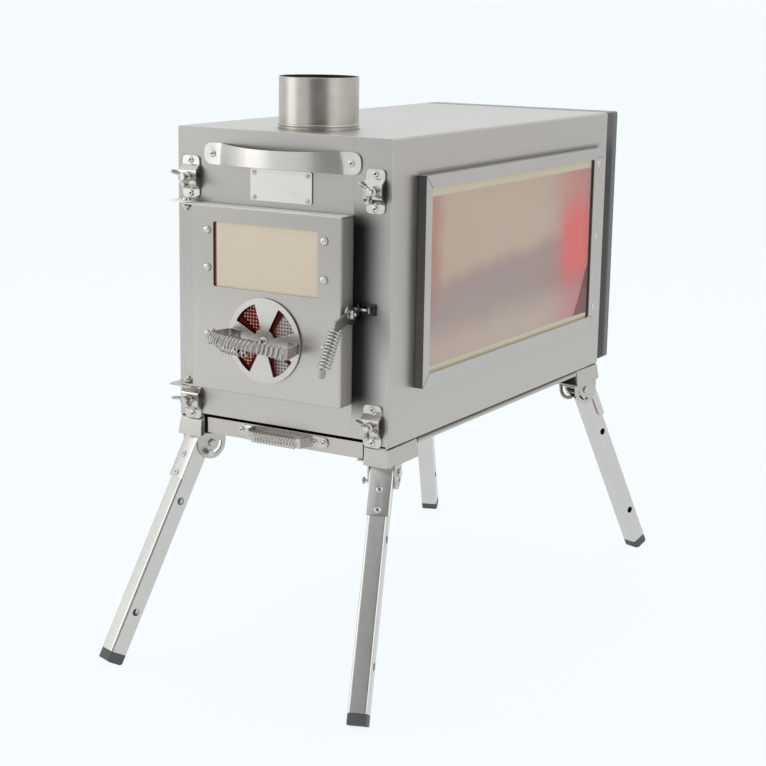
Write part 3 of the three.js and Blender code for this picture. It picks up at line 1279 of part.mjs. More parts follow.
// Strap bridge in (x, y), waisted where the spring sits.
function trayHandle() {
  const seat = TRAY_FRONT - GAP;
  const z = TRAY_BOTTOM + TRAY_STRAP_Z;
  const bar = TRAY_FRONT - TRAY_STRAP_REACH + TRAY_STRAP_SHEET;
  const line = rounded([
    [TRAY_STRAP_HALF, seat],
    [TRAY_STRAP_FOOT, seat, 2],
    [TRAY_STRAP_SHOULDER, bar, 2],
    [-TRAY_STRAP_SHOULDER, bar, 2],
    [-TRAY_STRAP_FOOT, seat, 2],
    [-TRAY_STRAP_HALF, seat],
  ], 2, false);
  const strap = push('z', sheet(line, TRAY_STRAP_SHEET), z - TRAY_STRAP_WIDTH,
    z + TRAY_STRAP_WIDTH);
  const half = TRAY_STRAP_WIDTH / 2;
  const waist = TRAY_STRAP_WAIST / 2;
  const narrow = TRAY_COIL_LENGTH / 2 + 1.5;
  const quarter = (side, up) => [
    [side * TRAY_STRAP_HALF, z + up * half, half - 0.2],
    [side * (TRAY_STRAP_SHOULDER + 1), z + up * half],
    [side * narrow, z + up * waist],
  ];
  const face = rounded([
    ...quarter(1, 1),
    ...quarter(-1, 1).reverse(),
    ...quarter(-1, -1),
    ...quarter(1, -1).reverse(),
  ], 3);
  const outline = push('y', face, bar - CUT_MARGIN - TRAY_STRAP_SHEET, TRAY_FRONT + CUT_MARGIN);
  const rivets = TRAY_RIVETS.flatMap((x) => [-1, 1].map((side) =>
    rivet([side * x, seat - TRAY_STRAP_SHEET, z], UNIT_Y.clone().negate(), 6.2)));
  return joined([strap.intersect(outline), ...rivets]);
}

addPart('ash_tray', ashTray(), STEEL);
addPart('tray_handle', trayHandle(), STEEL);
addSpring('tray_spring', {
  from: -TRAY_COIL_LENGTH / 2,
  to: TRAY_COIL_LENGTH / 2,
  turns: TRAY_COIL_TURNS,
  diameter: TRAY_COIL_DIAMETER,
  wire: TRAY_COIL_WIRE,
  seat: TRAY_STRAP_SHEET / 2 + GAP,
}, shift(0, TRAY_FRONT - TRAY_STRAP_REACH + TRAY_STRAP_SHEET / 2, TRAY_BOTTOM + TRAY_STRAP_Z));

// ---------------------------------------------------------------- carry handle and name plate

// Bowed strap with joggled, round-ended feet: an arc in plan, waisted in the middle.
function carryHandle() {
  const seat = FRONT - GAP;
  const rise = CARRY_REACH - CARRY_JOGGLE - CARRY_SHEET;
  const bowRadius = (CARRY_BOW_START ** 2 + rise ** 2) / (2 * rise);
  const bow = Array.from({ length: 15 }, (_, k) => {
    const x = -CARRY_BOW_START + (2 * CARRY_BOW_START * k) / 14;
    return [x, seat - CARRY_JOGGLE - (Math.sqrt(bowRadius ** 2 - x ** 2) - (bowRadius - rise))];
  });
  const line = [[-CARRY_HALF, seat], [-CARRY_CREASE, seat], ...bow, [CARRY_CREASE, seat], [CARRY_HALF, seat]];
  const strap = push('z', sheet([...line].reverse(), CARRY_SHEET), CARRY_Z - CARRY_END_WIDTH,
    CARRY_Z + CARRY_END_WIDTH);
  const wide = CARRY_END_WIDTH / 2;
  const waist = Array.from({ length: 11 }, (_, k) => {
    const share = -1 + (2 * k) / 10;
    const half = CARRY_WAIST / 2 + (wide - CARRY_WAIST / 2) * share ** 2;
    return [share * CARRY_CREASE, half];
  });
  const upper = rounded([
    [-CARRY_HALF, CARRY_Z, 0],
    [-CARRY_HALF, CARRY_Z + wide, wide * 0.8],
    ...waist.map(([x, half]) => [x, CARRY_Z + half, 0]),
    [CARRY_HALF, CARRY_Z + wide, wide * 0.8],
    [CARRY_HALF, CARRY_Z, 0],
  ], 4, false);
  const lower = upper.slice(1, -1).map(([x, z]) => [x, 2 * CARRY_Z - z]).reverse();
  const outline = push('y', [...upper, ...lower], FRONT - CARRY_REACH - CUT_MARGIN, FRONT + CUT_MARGIN);
  const rivets = [-1, 1].map((side) =>
    rivet([side * CARRY_RIVET, seat - CARRY_SHEET, CARRY_Z], UNIT_Y.clone().negate()));
  return joined([strap.intersect(outline), ...rivets]);
}

function namePlate() {
  const rear = FRONT - GAP;
  const outline = rectangle(-PLATE_HALF, PLATE_HALF, PLATE_BOTTOM, PLATE_TOP, PLATE_CORNER);
  const plate = push('y', outline, rear - PLATE_SHEET, rear);
  const rivets = [PLATE_RIVET_LOWER, PLATE_RIVET_UPPER].flatMap((z) => [-1, 1].map((side) =>
    rivet([side * PLATE_RIVET_SIDE, rear - PLATE_SHEET, z], UNIT_Y.clone().negate(), SMALL_RIVET_HEAD,
      SMALL_RIVET_HEIGHT)));
  return joined([plate, ...rivets]);
}

addPart('carry_handle', carryHandle(), STEEL);
addPart('name_plate', namePlate(), BRIGHT_STEEL);

// ---------------------------------------------------------------- clamp brackets and wing screws

// Omega strap in (y, z), centred on its screw.
function clampBracket() {
  const seat = -GAP;
  const top = seat - CLAMP_REACH;
  const line = rounded([
    [seat, -CLAMP_HALF],
    [seat, -CLAMP_HUMP, 1.5],
    [top, -CLAMP_FLAT, 2],
    [top, CLAMP_FLAT, 2],
    [seat, CLAMP_HUMP, 1.5],
    [seat, CLAMP_HALF],
  ], 2, false);
  const half = CLAMP_WIDTH / 2;
  const strap = push('x', sheet(line, CLAMP_SHEET), -half, half);
  const outline = push('y', rectangle(-half, half, -CLAMP_HALF, CLAMP_HALF, CLAMP_CORNER, 2),
    top - CLAMP_SHEET - CUT_MARGIN, CUT_MARGIN);
  const hole = rod(WING_SHANK / 2 + PIN_PLAY, -CUT_MARGIN, CLAMP_REACH + CLAMP_SHEET + CUT_MARGIN, PIN_SIDES,
    [0, 0, 0], UNIT_Y.clone().negate());
  const rivets = [-1, 1].map((side) =>
    rivet([0, seat - CLAMP_SHEET, side * CLAMP_RIVET], UNIT_Y.clone().negate()));
  return joined([strap.intersect(outline).subtract(hole), ...rivets]);
}

// Screw pointing along local +Y into the tunnel, with a round nut collar, a boss and two swept wings.
function wingScrew() {
  const seat = -(CLAMP_REACH + CLAMP_SHEET + 2 * GAP);
  const boss = WING_BOSS / 2;
  const bossEnd = seat - WING_NUT_HEIGHT - WING_BOSS_LENGTH;
  const body = turned([
    [0, -CLAMP_REACH + 1],
    [WING_SHANK / 2, -CLAMP_REACH + 1],
    [WING_SHANK / 2, seat],
    [WING_NUT / 2, seat],
    [WING_NUT / 2, seat - WING_NUT_HEIGHT],
    [boss * 0.8, seat - WING_NUT_HEIGHT - 0.8],
    [boss * 0.9, bossEnd + 1],
    [boss * 0.6, bossEnd],
    [0, bossEnd],
  ], PIN_SIDES, [0, 0, 0], UNIT_Y);
  const tip = seat - WING_RISE;
  const root = seat - WING_NUT_HEIGHT - 1.5;
  const wing = (side) => rounded([
    [side * 1, root],
    [side * (boss + 1), root, 1.5],
    [side * WING_SPREAD, root - 5, 2],
    [side * WING_SPREAD, tip, 2.2],
    [side * (WING_SPREAD - 4.5), tip, 2],
    [side * boss * 0.8, bossEnd + 1.5],
    [side * 1, bossEnd + 1.5],
  ], 2);
  const half = WING_THICKNESS / 2;
  const wings = [-1, 1].map((side) => push('x', wing(side).map(([z, y]) => [y, z]), -half, half));
  return joined([body, ...wings]);
}

// name, side, height of the axis, and how far the wings are turned from upright in the photograph
const CLAMPS = [
  ['upper_left', -CLAMP_X, CLAMP_UPPER, -50],
  ['upper_right', CLAMP_X, CLAMP_UPPER, -22],
  ['lower_left', -CLAMP_X, CLAMP_LOWER, -72],
  ['lower_right', CLAMP_X, CLAMP_LOWER, -32],
];
for (const [name, x, z, turn] of CLAMPS) {
  const bracket = addPart(`clamp_bracket_${name}`, clampBracket(), BRIGHT_STEEL);
  bracket.position.set(x, FRONT, z);
  const screw = addPart(`wing_screw_${name}`, wingScrew(), BRIGHT_STEEL);
  screw.position.set(x, FRONT, z);
  screw.rotation.y = radians(turn);
}

// ---------------------------------------------------------------- corner gussets and folding legs

const EAR_INNER = YOKE_WIDTH / 2 + GAP;
const EAR_FACE = EAR_INNER + EAR_SHEET;

// Places of the swing plane at a front corner: local -Y points outwards along the ground.
function cornerMatrix(side) {
  const turn = new THREE.Matrix4().makeRotationZ(radians(side * LEG_AZIMUTH));
  return shift(side * LEG_X, FRONT + LEG_INSET, 0).multiply(turn);
}

function legMatrix(side) {
  const pivot = shift(0, -PIVOT_OUT, LEG_TOP - PIVOT_DROP);
  const tilt = new THREE.Matrix4().makeRotationX(-radians(LEG_TILT));
  return cornerMatrix(side).multiply(pivot).multiply(tilt);
}

// Ear plate in the corner's (y, z): square top, round bottom about the pivot, arc slot for the guide pin.
function gussetEar(side) {
  const pivotY = -PIVOT_OUT;
  const pivotZ = LEG_TOP - PIVOT_DROP;
  const top = GUSSET_BOTTOM + GUSSET_SHEET / 2;
  const outline = [
    [pivotY + EAR_END_RADIUS, top],
    [pivotY - EAR_END_RADIUS, top],
    ...arc(pivotY, pivotZ, EAR_END_RADIUS, 180, 360, 9),
  ];
  const start = 270 - LEG_TILT - GUIDE_ANGLE - 2;
  const end = 270 - LEG_TILT - GUIDE_ANGLE + FOLD_RANGE + 2;
  const room = GUIDE_PIN / 2 + PIN_PLAY;
  const slot = [
    ...arc(pivotY, pivotZ, GUIDE_RADIUS + room, start - 9, end + 9, 8),
    ...arc(pivotY, pivotZ, GUIDE_RADIUS - room, end + 9, start - 9, 8),
  ];
  const hole = circle(pivotY, pivotZ, PIVOT_PIN / 2 + PIN_PLAY, PIN_SIDES);
  const inner = side > 0 ? EAR_INNER : -EAR_FACE;
  return push('x', outline, inner, inner + EAR_SHEET, [slot, hole]);
}

// Skirts under the body's front and side, a folded bottom, a top flange and the two ears.
function cornerGusset(side) {
  const top = BODY_BOTTOM - GAP;
  const flared = SIDE + GUSSET_FLARE;
  const bend = 1.5;
  const frontLine = rounded([
    [FRONT + GUSSET_TOP_FLANGE, top],
    [FRONT, top, bend],
    [FRONT - GUSSET_FLARE, GUSSET_BOTTOM, bend],
    [FRONT + GUSSET_LENGTH, GUSSET_BOTTOM],
  ], 1, false);
  const frontSkirt = push('x', sheet(frontLine, GUSSET_SHEET), GUSSET_INNER, SIDE + GUSSET_FLARE);
  const sideLine = rounded([
    [SIDE - GUSSET_TOP_FLANGE, top],
    [SIDE, top, bend],
    [flared, GUSSET_BOTTOM, bend],
    [GUSSET_INNER, GUSSET_BOTTOM],
  ], 1, false);
  const sideSkirt = push('y', sheet([...sideLine].reverse(), GUSSET_SHEET), FRONT - GUSSET_FLARE,
    FRONT + GUSSET_LENGTH);
  const hull = loftedCorner(top, flared);
  const skirts = frontSkirt.add(sideSkirt).intersect(hull);
  const place = cornerMatrix(1);
  const ears = [-1, 1].map((hand) => moved(gussetEar(hand), place));
  const whole = joined([skirts, ...ears]);
  return side > 0 ? whole : moved(whole, MIRROR_X);
}

// The space a front right gusset may fill: a square column that flares at its two outer sides.
function loftedCorner(top, flared) {
  const rear = FRONT + GUSSET_LENGTH;
  const frontView = push('y', [
    [GUSSET_INNER, GUSSET_BOTTOM - 1],
    [flared, GUSSET_BOTTOM - 1],
    [flared, GUSSET_BOTTOM],
    [SIDE, top],
    [GUSSET_INNER, top],
  ], FRONT - GUSSET_FLARE - 1, rear);
  const sideView = push('x', [
    [FRONT - GUSSET_FLARE, GUSSET_BOTTOM - 1],
    [rear, GUSSET_BOTTOM - 1],
    [rear, top],
    [FRONT, top],
    [FRONT - GUSSET_FLARE, GUSSET_BOTTOM],
  ], GUSSET_INNER, flared + 1);
  return frontView.intersect(sideView);
}

// Leg frame: origin on the pivot, the leg runs along -Z, -Y is its outer side, X is across.
const TUBE_OUT = PIVOT_DROP * Math.sin(radians(LEG_TILT)) - PIVOT_OUT * Math.cos(radians(LEG_TILT));
const WEB_INNER = TUBE_OUT + TUBE_SIDE / 2 + GAP;
const WEB_OUTER = WEB_INNER + YOKE_SHEET;

function legYoke(side) {
  const half = YOKE_WIDTH / 2;
  const skirt = -(WEB_OUTER - YOKE_SKIRT);
  const outline = rounded([
    [-WEB_OUTER, YOKE_TOP],
    ...arc(0, 0, YOKE_LUG, 75, -30, 5),
    [YOKE_LUG * 0.4, -YOKE_STEP * 0.75, 3],
    [skirt, -YOKE_STEP, 3],
    [skirt, -YOKE_BOTTOM, 5],
    [-WEB_OUTER, -YOKE_BOTTOM, 0],
  ], 2);
  const block = push('x', outline, -half, half);
  const inside = half - YOKE_SHEET;
  const channel = box(-inside, inside, -WEB_INNER, YOKE_LUG + CUT_MARGIN, -YOKE_BOTTOM - CUT_MARGIN,
    YOKE_LUG + CUT_MARGIN);
  const pivotHole = rod(PIVOT_PIN / 2 + PIN_PLAY, -half - CUT_MARGIN, half + CUT_MARGIN, PIN_SIDES,
    [0, 0, 0], UNIT_X);
  const bentCorners = rectangle(-half, half, -WEB_OUTER, YOKE_LUG + CUT_MARGIN, 1.5, 1);
  const envelope = push('z', bentCorners, -YOKE_BOTTOM - CUT_MARGIN, YOKE_LUG + CUT_MARGIN);
  const rivets = YOKE_RIVETS.map((z) => rivet([0, -WEB_OUTER, -z], UNIT_Y.clone().negate()));
  const cover = cutBy(block.intersect(envelope), [channel, pivotHole]);
  return joined([cover, ...rivets, guidePin(side)]);
}

// Pin across both flanges, in the ears' slots, with a headed end on the inner side.
function guidePin(side) {
  const angle = radians(GUIDE_ANGLE);
  const at = [0, -GUIDE_RADIUS * Math.sin(angle), -GUIDE_RADIUS * Math.cos(angle)];
  const reach = EAR_FACE + GUIDE_REACH;
  const pin = GUIDE_PIN / 2;
  const inward = new THREE.Vector3(-side, 0, 0);
  return turned([
    [0, -EAR_FACE - 1],
    [pin, -EAR_FACE - 1],
    [pin, reach - GUIDE_HEAD_HEIGHT],
    [GUIDE_HEAD / 2, reach - GUIDE_HEAD_HEIGHT + 0.5],
    [GUIDE_HEAD / 2, reach - 0.6],
    [pin * 0.8, reach],
    [0, reach],
  ], PIN_SIDES, at, inward);
}

function squareTube(half, corner, from, to) {
  const outline = rectangle(-half, half, -TUBE_OUT - half, -TUBE_OUT + half, corner, 2);
  return push('z', outline, from, to);
}

function legTube() {
  const top = -TUBE_START;
  const bottom = -(LEG_LENGTH - CAP_HEIGHT - GAP);
  const outer = squareTube(TUBE_SIDE / 2, TUBE_CORNER, bottom, top);
  const bore = squareTube(TUBE_SIDE / 2 - TUBE_WALL, TUBE_CORNER - TUBE_WALL, bottom - CUT_MARGIN,
    top + CUT_MARGIN);
  const holes = TUBE_HOLES.map((z) => push('x', circle(-TUBE_OUT, -z, TUBE_HOLE / 2, PIN_SIDES),
    -TUBE_SIDE / 2 - CUT_MARGIN, TUBE_SIDE / 2 + CUT_MARGIN));
  return cutBy(outer, [bore, ...holes]);
}

// End cap: a plug in the tube and a rounded shoe, cut level with the ground.
function legFoot(side) {
  const end = -LEG_LENGTH;
  const shoulder = end + CAP_HEIGHT;
  const half = TUBE_SIDE / 2;
  const sideView = rounded([
    [-TUBE_OUT - half, shoulder],
    [-TUBE_OUT - half, end, 3],
    [-TUBE_OUT + half, end, 3],
    [-TUBE_OUT + half, shoulder],
  ], 3);
  const shoe = push('x', sideView, -half, half).intersect(squareTube(half, TUBE_CORNER, end, shoulder));
  const plugHalf = half - TUBE_WALL - GAP;
  const plug = squareTube(plugHalf, TUBE_CORNER - TUBE_WALL, shoulder - 1, shoulder + CAP_PLUG);
  const reach = 2 * LEG_LENGTH;
  const ground = toGeometry(box(-reach, reach, -2 * reach, reach, -reach, 0));
  ground.applyMatrix4(legMatrix(side).invert());
  return joined([shoe, plug]).subtract(toSolid(ground));
}

// Pivot bolt across the ears, round the leg's lugs.
function legPivot() {
  const pin = PIVOT_PIN / 2;
  const seat = EAR_FACE + GAP;
  return turned([
    [0, -seat - PIVOT_HEAD_HEIGHT],
    [PIVOT_HEAD / 2 - 1, -seat - PIVOT_HEAD_HEIGHT],
    [PIVOT_HEAD / 2, -seat - PIVOT_HEAD_HEIGHT + 1],
    [PIVOT_HEAD / 2, -seat],
    [pin, -seat],
    [pin, seat],
    [PIVOT_HEAD / 2, seat],
    [PIVOT_HEAD / 2, seat + PIVOT_HEAD_HEIGHT - 1],
    [PIVOT_HEAD / 2 - 1, seat + PIVOT_HEAD_HEIGHT],
    [0, seat + PIVOT_HEAD_HEIGHT],
  ], PIN_SIDES, [0, 0, 0], UNIT_X);
}

// The rear end is the front end turned half round, so its right and left change places.
for (const [end, turn] of [['front', 0], ['rear', Math.PI]]) {
  const endGroup = new THREE.Group();
  endGroup.rotation.z = turn;
  stove.add(endGroup);
  for (const side of [1, -1]) {
    const isRight = (side > 0) === (end === 'front');
    const name = `${isRight ? 'right' : 'left'}_${end}`;
    addPart(`corner_gusset_${name}`, cornerGusset(side), STEEL, endGroup);
    const leg = new THREE.Group();
    leg.applyMatrix4(legMatrix(side));
    endGroup.add(leg);
    addPart(`leg_yoke_${name}`, legYoke(side), LEG_STEEL, leg);
    addPart(`leg_tube_${name}`, legTube(), LEG_STEEL, leg);
    addPart(`leg_foot_${name}`, legFoot(side), CAP_PLASTIC, leg);
    addPart(`leg_pivot_${name}`, legPivot(), BRIGHT_STEEL, leg);
  }
}

export default stove;
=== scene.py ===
# %% [markdown]
# # A folding wood stove for a hot tent, in stainless steel sheet
# The metal firebox stands on four folding tube legs. A door with a small pane, a round air vent and a
# wire-wrapped latch closes its front, and a long pane looks into each side. The solids are loaded as a
# fixed frame in metres, and this script gives every one of them its finish. Where facets would show, a
# finer piece is modelled in the same place.

# %% Load the frame
import math
import random

import bpy
from mathutils import Matrix, Vector


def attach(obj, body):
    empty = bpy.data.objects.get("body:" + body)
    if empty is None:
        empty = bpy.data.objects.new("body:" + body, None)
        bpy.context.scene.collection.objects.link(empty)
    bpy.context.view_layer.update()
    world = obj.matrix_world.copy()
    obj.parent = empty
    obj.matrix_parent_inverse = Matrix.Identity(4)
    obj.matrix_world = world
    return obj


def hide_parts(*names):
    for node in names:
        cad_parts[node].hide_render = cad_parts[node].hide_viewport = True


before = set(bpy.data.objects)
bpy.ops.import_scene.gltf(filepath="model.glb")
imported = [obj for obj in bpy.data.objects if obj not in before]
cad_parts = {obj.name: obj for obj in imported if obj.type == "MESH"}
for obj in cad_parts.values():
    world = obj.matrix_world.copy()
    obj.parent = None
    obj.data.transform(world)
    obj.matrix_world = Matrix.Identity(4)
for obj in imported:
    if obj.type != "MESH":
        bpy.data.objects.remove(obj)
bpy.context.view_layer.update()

# %% [markdown]
# ## Units and small helpers
# Sheet metal is drawn in millimetres and Blender works in metres, so one factor turns the first into the
# second. A colour is written the way a paint chip names it, as sRGB hex, and turned to linear light once.

# %% Millimetres and colours
MM = 0.001


def linear(code):
    """sRGB hex to the linear RGBA that a shader socket takes."""
    channels = [int(code[i:i + 2], 16) / 255 for i in (1, 3, 5)]
    return tuple(c / 12.92 if c <= 0.04045 else ((c + 0.055) / 1.055) ** 2.4 for c in channels) + (1.0,)


print("mid steel grey in linear light:", [round(c, 3) for c in linear("#B9B9B8")])

# %% [markdown]
# ## Working on one piece at a time
# Blender's operators act on whatever is selected, so each step starts by selecting one object and nothing
# else. A finished piece is named, rides on the body that carries it and takes the place of its solid.

# %% Selecting and choosing


def work_on(*pieces):
    bpy.ops.object.select_all(action="DESELECT")
    for piece in pieces:
        piece.select_set(True)
    bpy.context.view_layer.objects.active = pieces[0]
    return pieces[0]


def edit(piece, select="SELECT"):
    work_on(piece)
    bpy.ops.object.mode_set(mode="EDIT")
    bpy.ops.mesh.select_mode(type="VERT")
    bpy.ops.mesh.select_all(action=select)


def done():
    bpy.ops.object.mode_set(mode="OBJECT")


def choose(piece, kind, test):
    """Opens a piece for editing with the edges or faces selected whose corners pass a test."""
    edit(piece, "DESELECT")
    bpy.ops.mesh.select_mode(type=kind)
    done()
    parts = piece.data.edges if kind == "EDGE" else piece.data.polygons
    for part in parts:
        part.select = test([piece.data.vertices[i].co for i in part.vertices])
    bpy.ops.object.mode_set(mode="EDIT")


def fresh(add, **options):
    """Adds a primitive with nothing else selected, and keeps its place and size in its mesh."""
    bpy.ops.object.select_all(action="DESELECT")
    add(**options)
    bpy.ops.object.transform_apply(location=True, rotation=True, scale=True)
    return bpy.context.object


def join(pieces):
    work_on(*pieces)
    bpy.ops.object.join()
    return bpy.context.object


# %% Sheet thickness, soft edges and openings


def apply_all(piece):
    work_on(piece)
    for modifier in list(piece.modifiers):
        bpy.ops.object.modifier_apply(modifier=modifier.name)
    return piece


def thicken(piece, thickness, offset=-1):
    """Gives a skin the thickness of its sheet: inwards, or outwards with offset 1."""
    wall = piece.modifiers.new("sheet", "SOLIDIFY")
    wall.thickness = thickness * MM
    wall.offset = offset
    return apply_all(piece)


def soften(piece, width, angle=50, segments=2):
    """Rounds the edges that are sharper than an angle."""
    soft = piece.modifiers.new("soft edges", "BEVEL")
    soft.width = width * MM
    soft.segments = segments
    soft.limit_method = "ANGLE"
    soft.angle_limit = math.radians(angle)
    return apply_all(piece)


def cut_with(piece, cutter):
    """Cuts a solid out of a piece, and drops the solid."""
    opening = piece.modifiers.new("opening", "BOOLEAN")
    opening.object = cutter
    opening.solver = "EXACT"
    apply_all(piece)
    bpy.data.objects.remove(cutter)


def smooth(piece, degrees=35, weighted=True):
    """Bends shade round and flats stay flat, because the large faces decide the normals."""
    work_on(piece)
    bpy.ops.object.shade_smooth_by_angle(angle=math.radians(degrees))
    if weighted:
        steady = piece.modifiers.new("flats stay flat", "WEIGHTED_NORMAL")
        steady.keep_sharp = True
        apply_all(piece)
    return piece


# %% Placing, copying and finishing


def shift(x, y, z):
    """A move written in millimetres."""
    return Matrix.Translation(Vector((x, y, z)) * MM)


def place(piece, matrix):
    """Puts a piece where a matrix says, and keeps the place in its mesh."""
    work_on(piece)
    piece.matrix_world = matrix
    bpy.ops.object.transform_apply(location=True, rotation=True, scale=True)
    return piece


def copy_of(piece):
    """A copy with its own mesh."""
    twin = piece.copy()
    twin.data = piece.data.copy()
    bpy.context.scene.collection.objects.link(twin)
    return twin


def finish(piece, name, body, finish_name, material, *solids):
    """Names a piece, gives it its material and its body, and says which solids it stands for. finish_name is
    not used.
    """
    piece.name = name
    piece.data.name = name
    piece.data.materials.clear()
    piece.data.materials.append(material)
    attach(piece, body)
    if solids:
        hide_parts(*solids)
    return piece


def second_finish(piece, material, marks):
    """Gives the marked faces another material."""
    piece.data.materials.append(material)
    for face, marked in zip(piece.data.polygons, marks):
        face.material_index = int(marked)


# %% [markdown]
# ## The camera
# The photograph looks down a little on the stove from its front right corner, through a long lens. The
# lens, place and turn were worked out from where the firebox's corners and the feet lie in the picture.

# %% Camera
CAMERA_PLACE = Vector((0.94859, -1.65064, 0.68145))
CAMERA_AZIMUTH = math.radians(30.613)
CAMERA_PITCH = math.radians(12.656)
CAMERA_ROLL = math.radians(0.925)
PICTURE_SIDE = 766
FOCAL_PIXELS = 1737.17
SENSOR_WIDTH = 36

ahead = Vector((
    -math.sin(CAMERA_AZIMUTH) * math.cos(CAMERA_PITCH),
    math.cos(CAMERA_AZIMUTH) * math.cos(CAMERA_PITCH),
    -math.sin(CAMERA_PITCH),
))
level_right = Vector((math.cos(CAMERA_AZIMUTH), math.sin(CAMERA_AZIMUTH), 0))
level_up = level_right.cross(ahead)
camera_right = level_right * math.cos(CAMERA_ROLL) + level_up * math.sin(CAMERA_ROLL)
camera_up = level_up * math.cos(CAMERA_ROLL) - level_right * math.sin(CAMERA_ROLL)

bpy.ops.object.camera_add(location=CAMERA_PLACE)
camera = bpy.context.object
camera.name = "photograph_camera"
turn = Matrix((camera_right, camera_up, -ahead)).transposed()
camera.rotation_euler = turn.to_euler()
camera.data.sensor_width = SENSOR_WIDTH
camera.data.lens = FOCAL_PIXELS / PICTURE_SIDE * SENSOR_WIDTH
bpy.context.scene.camera = camera
print("lens:", round(camera.data.lens, 2), "mm")

# %% [markdown]
# ## One way to add a shader node
# Every material below is built from nodes. The helper adds one node, sets its options and its inputs, and
# links an input when the value given for it is another node's output. Heat tint, and painted light and shade,
# are laid on in layers: a zone says softly where a layer lies, and the layers go over the bare finish.

# %% Adding a node
EVERY = slice(None)


def add_node(tree, kind, inputs, out=0, **settings):
    """Adds one node. An input is a value or another node's output. Gives back the output asked for."""
    node = tree.nodes.new("ShaderNode" + kind)
    for key, value in settings.items():
        setattr(node, key, value)
    for key, value in inputs.items():
        if isinstance(value, bpy.types.NodeSocket):
            tree.links.new(value, node.inputs[key])
        else:
            node.inputs[key].default_value = value
    return node.outputs[out] if node.outputs else node


def new_material(name):
    material = bpy.data.materials.new(name)
    material.use_nodes = True
    material.node_tree.nodes.clear()
    return material, material.node_tree


# %% Zones and layers


def zone(tree, *edges):
    """A mask. An edge is a mask, or a value with where it is 0 and where it is 1, in millimetres."""
    mask = None
    for edge in edges:
        if isinstance(edge, tuple):
            value, off, on = edge
            edge = add_node(tree, "MapRange", {"Value": value, "From Min": off * MM, "From Max": on * MM},
                            interpolation_type="SMOOTHSTEP")
        mask = edge if mask is None else add_node(tree, "Math", {0: mask, 1: edge}, operation="MULTIPLY")
    return mask


def layered(tree, colour, *layers):
    """Lays colours over a finish, each where its mask is 1."""
    for mask, over in layers:
        over = linear(over) if isinstance(over, str) else over
        colour = add_node(tree, "Mix", {0: mask, 6: colour, 7: over}, 2, data_type="RGBA")
    return colour


def dimmed(tree, colour, *layers):
    """Dims a finish to a share of itself where a mask is 1."""
    for mask, share in layers:
        amount = add_node(tree, "MapRange", {"Value": mask, "To Min": 1.0, "To Max": share})
        colour = add_node(tree, "VectorMath", {0: colour, "Scale": amount}, operation="SCALE")
    return colour


# %% [markdown]
# ## Floor, background and light
# The stove stands on a pale floor before a background of nearly the same white. The camera, and what
# mirrors in metal and glass, sees that white, while the lamps alone shade the steel. The floor keeps a
# soft shadow under the feet.

# %% Floor and background
BACKGROUND = linear("#F7FCFF")
FLOOR_HALF = 150.0  # metres, so that the floor ends at the horizon


def seen_by_lens(tree):
    """1 for rays of the camera, straight or by way of metal and glass, and 0 for the light on the stove."""
    seen = add_node(tree, "LightPath", {}, "Is Camera Ray")
    for ray in ("Is Glossy Ray", "Is Transmission Ray"):
        seen = add_node(tree, "Math", {0: seen, 1: add_node(tree, "LightPath", {}, ray)}, operation="MAXIMUM")
    return seen


bpy.ops.mesh.primitive_plane_add(size=2 * FLOOR_HALF, location=(0, 0, 0))
floor = bpy.context.object
floor.name = "studio_floor"

floor_paint, tree = new_material("pale_studio_floor")
# faint unevenness of a swept paper floor
mottle = add_node(tree, "TexNoise", {
    "Vector": add_node(tree, "TexCoord", {}, "Object"), "Scale": 3.0, "Detail": 2.0})
matt = add_node(tree, "BsdfDiffuse", {"Color": layered(tree, linear("#F4F7F9"), (mottle, "#F8FAFC"))})
glow = add_node(tree, "Emission", {"Color": BACKGROUND, "Strength": 0.945})
faint = add_node(tree, "BsdfDiffuse", {"Color": linear("#4E5052")})
lit_floor = add_node(tree, "AddShader", {0: glow, 1: faint})
mixed = add_node(tree, "MixShader", {0: seen_by_lens(tree), 1: matt, 2: lit_floor})
add_node(tree, "OutputMaterial", {"Surface": mixed})
floor.data.materials.append(floor_paint)

world = bpy.data.worlds.new("studio_white")
bpy.context.scene.world = world
world.use_nodes = True
tree = world.node_tree
tree.nodes.clear()
soft = add_node(tree, "Background", {"Color": linear("#F4F6FA"), "Strength": 0.55})
white = add_node(tree, "Background", {"Color": BACKGROUND, "Strength": 1.0})
mixed = add_node(tree, "MixShader", {0: seen_by_lens(tree), 1: soft, 2: white})
add_node(tree, "OutputWorld", {"Surface": mixed})

bpy.context.scene.view_settings.view_transform = "Standard"
print("floor:", 2 * FLOOR_HALF, "m wide")

# %% Lamps
# name, place, size and power of each softbox; all look at the middle of the firebox
STOVE_MIDDLE = Vector((0, 0, 0.36))
LAMPS = [
    ("softbox_overhead", (-0.4, 0.5, 2.4), 1.8, 14),
    ("softbox_front_left", (-2.2, -1.9, 1.0), 1.6, 12),
    ("softbox_right", (2.6, -0.6, 1.3), 1.4, 7),
]
for name, spot, size, power in LAMPS:
    bpy.ops.object.light_add(type="AREA", location=spot)
    lamp = bpy.context.object
    lamp.name = name
    lamp.data.size = size
    lamp.data.energy = power
    lamp.rotation_euler = (STOVE_MIDDLE - Vector(spot)).to_track_quat("-Z", "Y").to_euler()
print("lamps:", len(LAMPS))

# %% [markdown]
# ## Dark card behind the camera
# A photographer hangs dark cloth behind the camera, so that bare metal which faces the lens has something
# dark to mirror. It gives tubes, bolts and wire their dark middle. A grey card on the right does the same,
# more softly, for the long side. The cards are seen in reflections only.

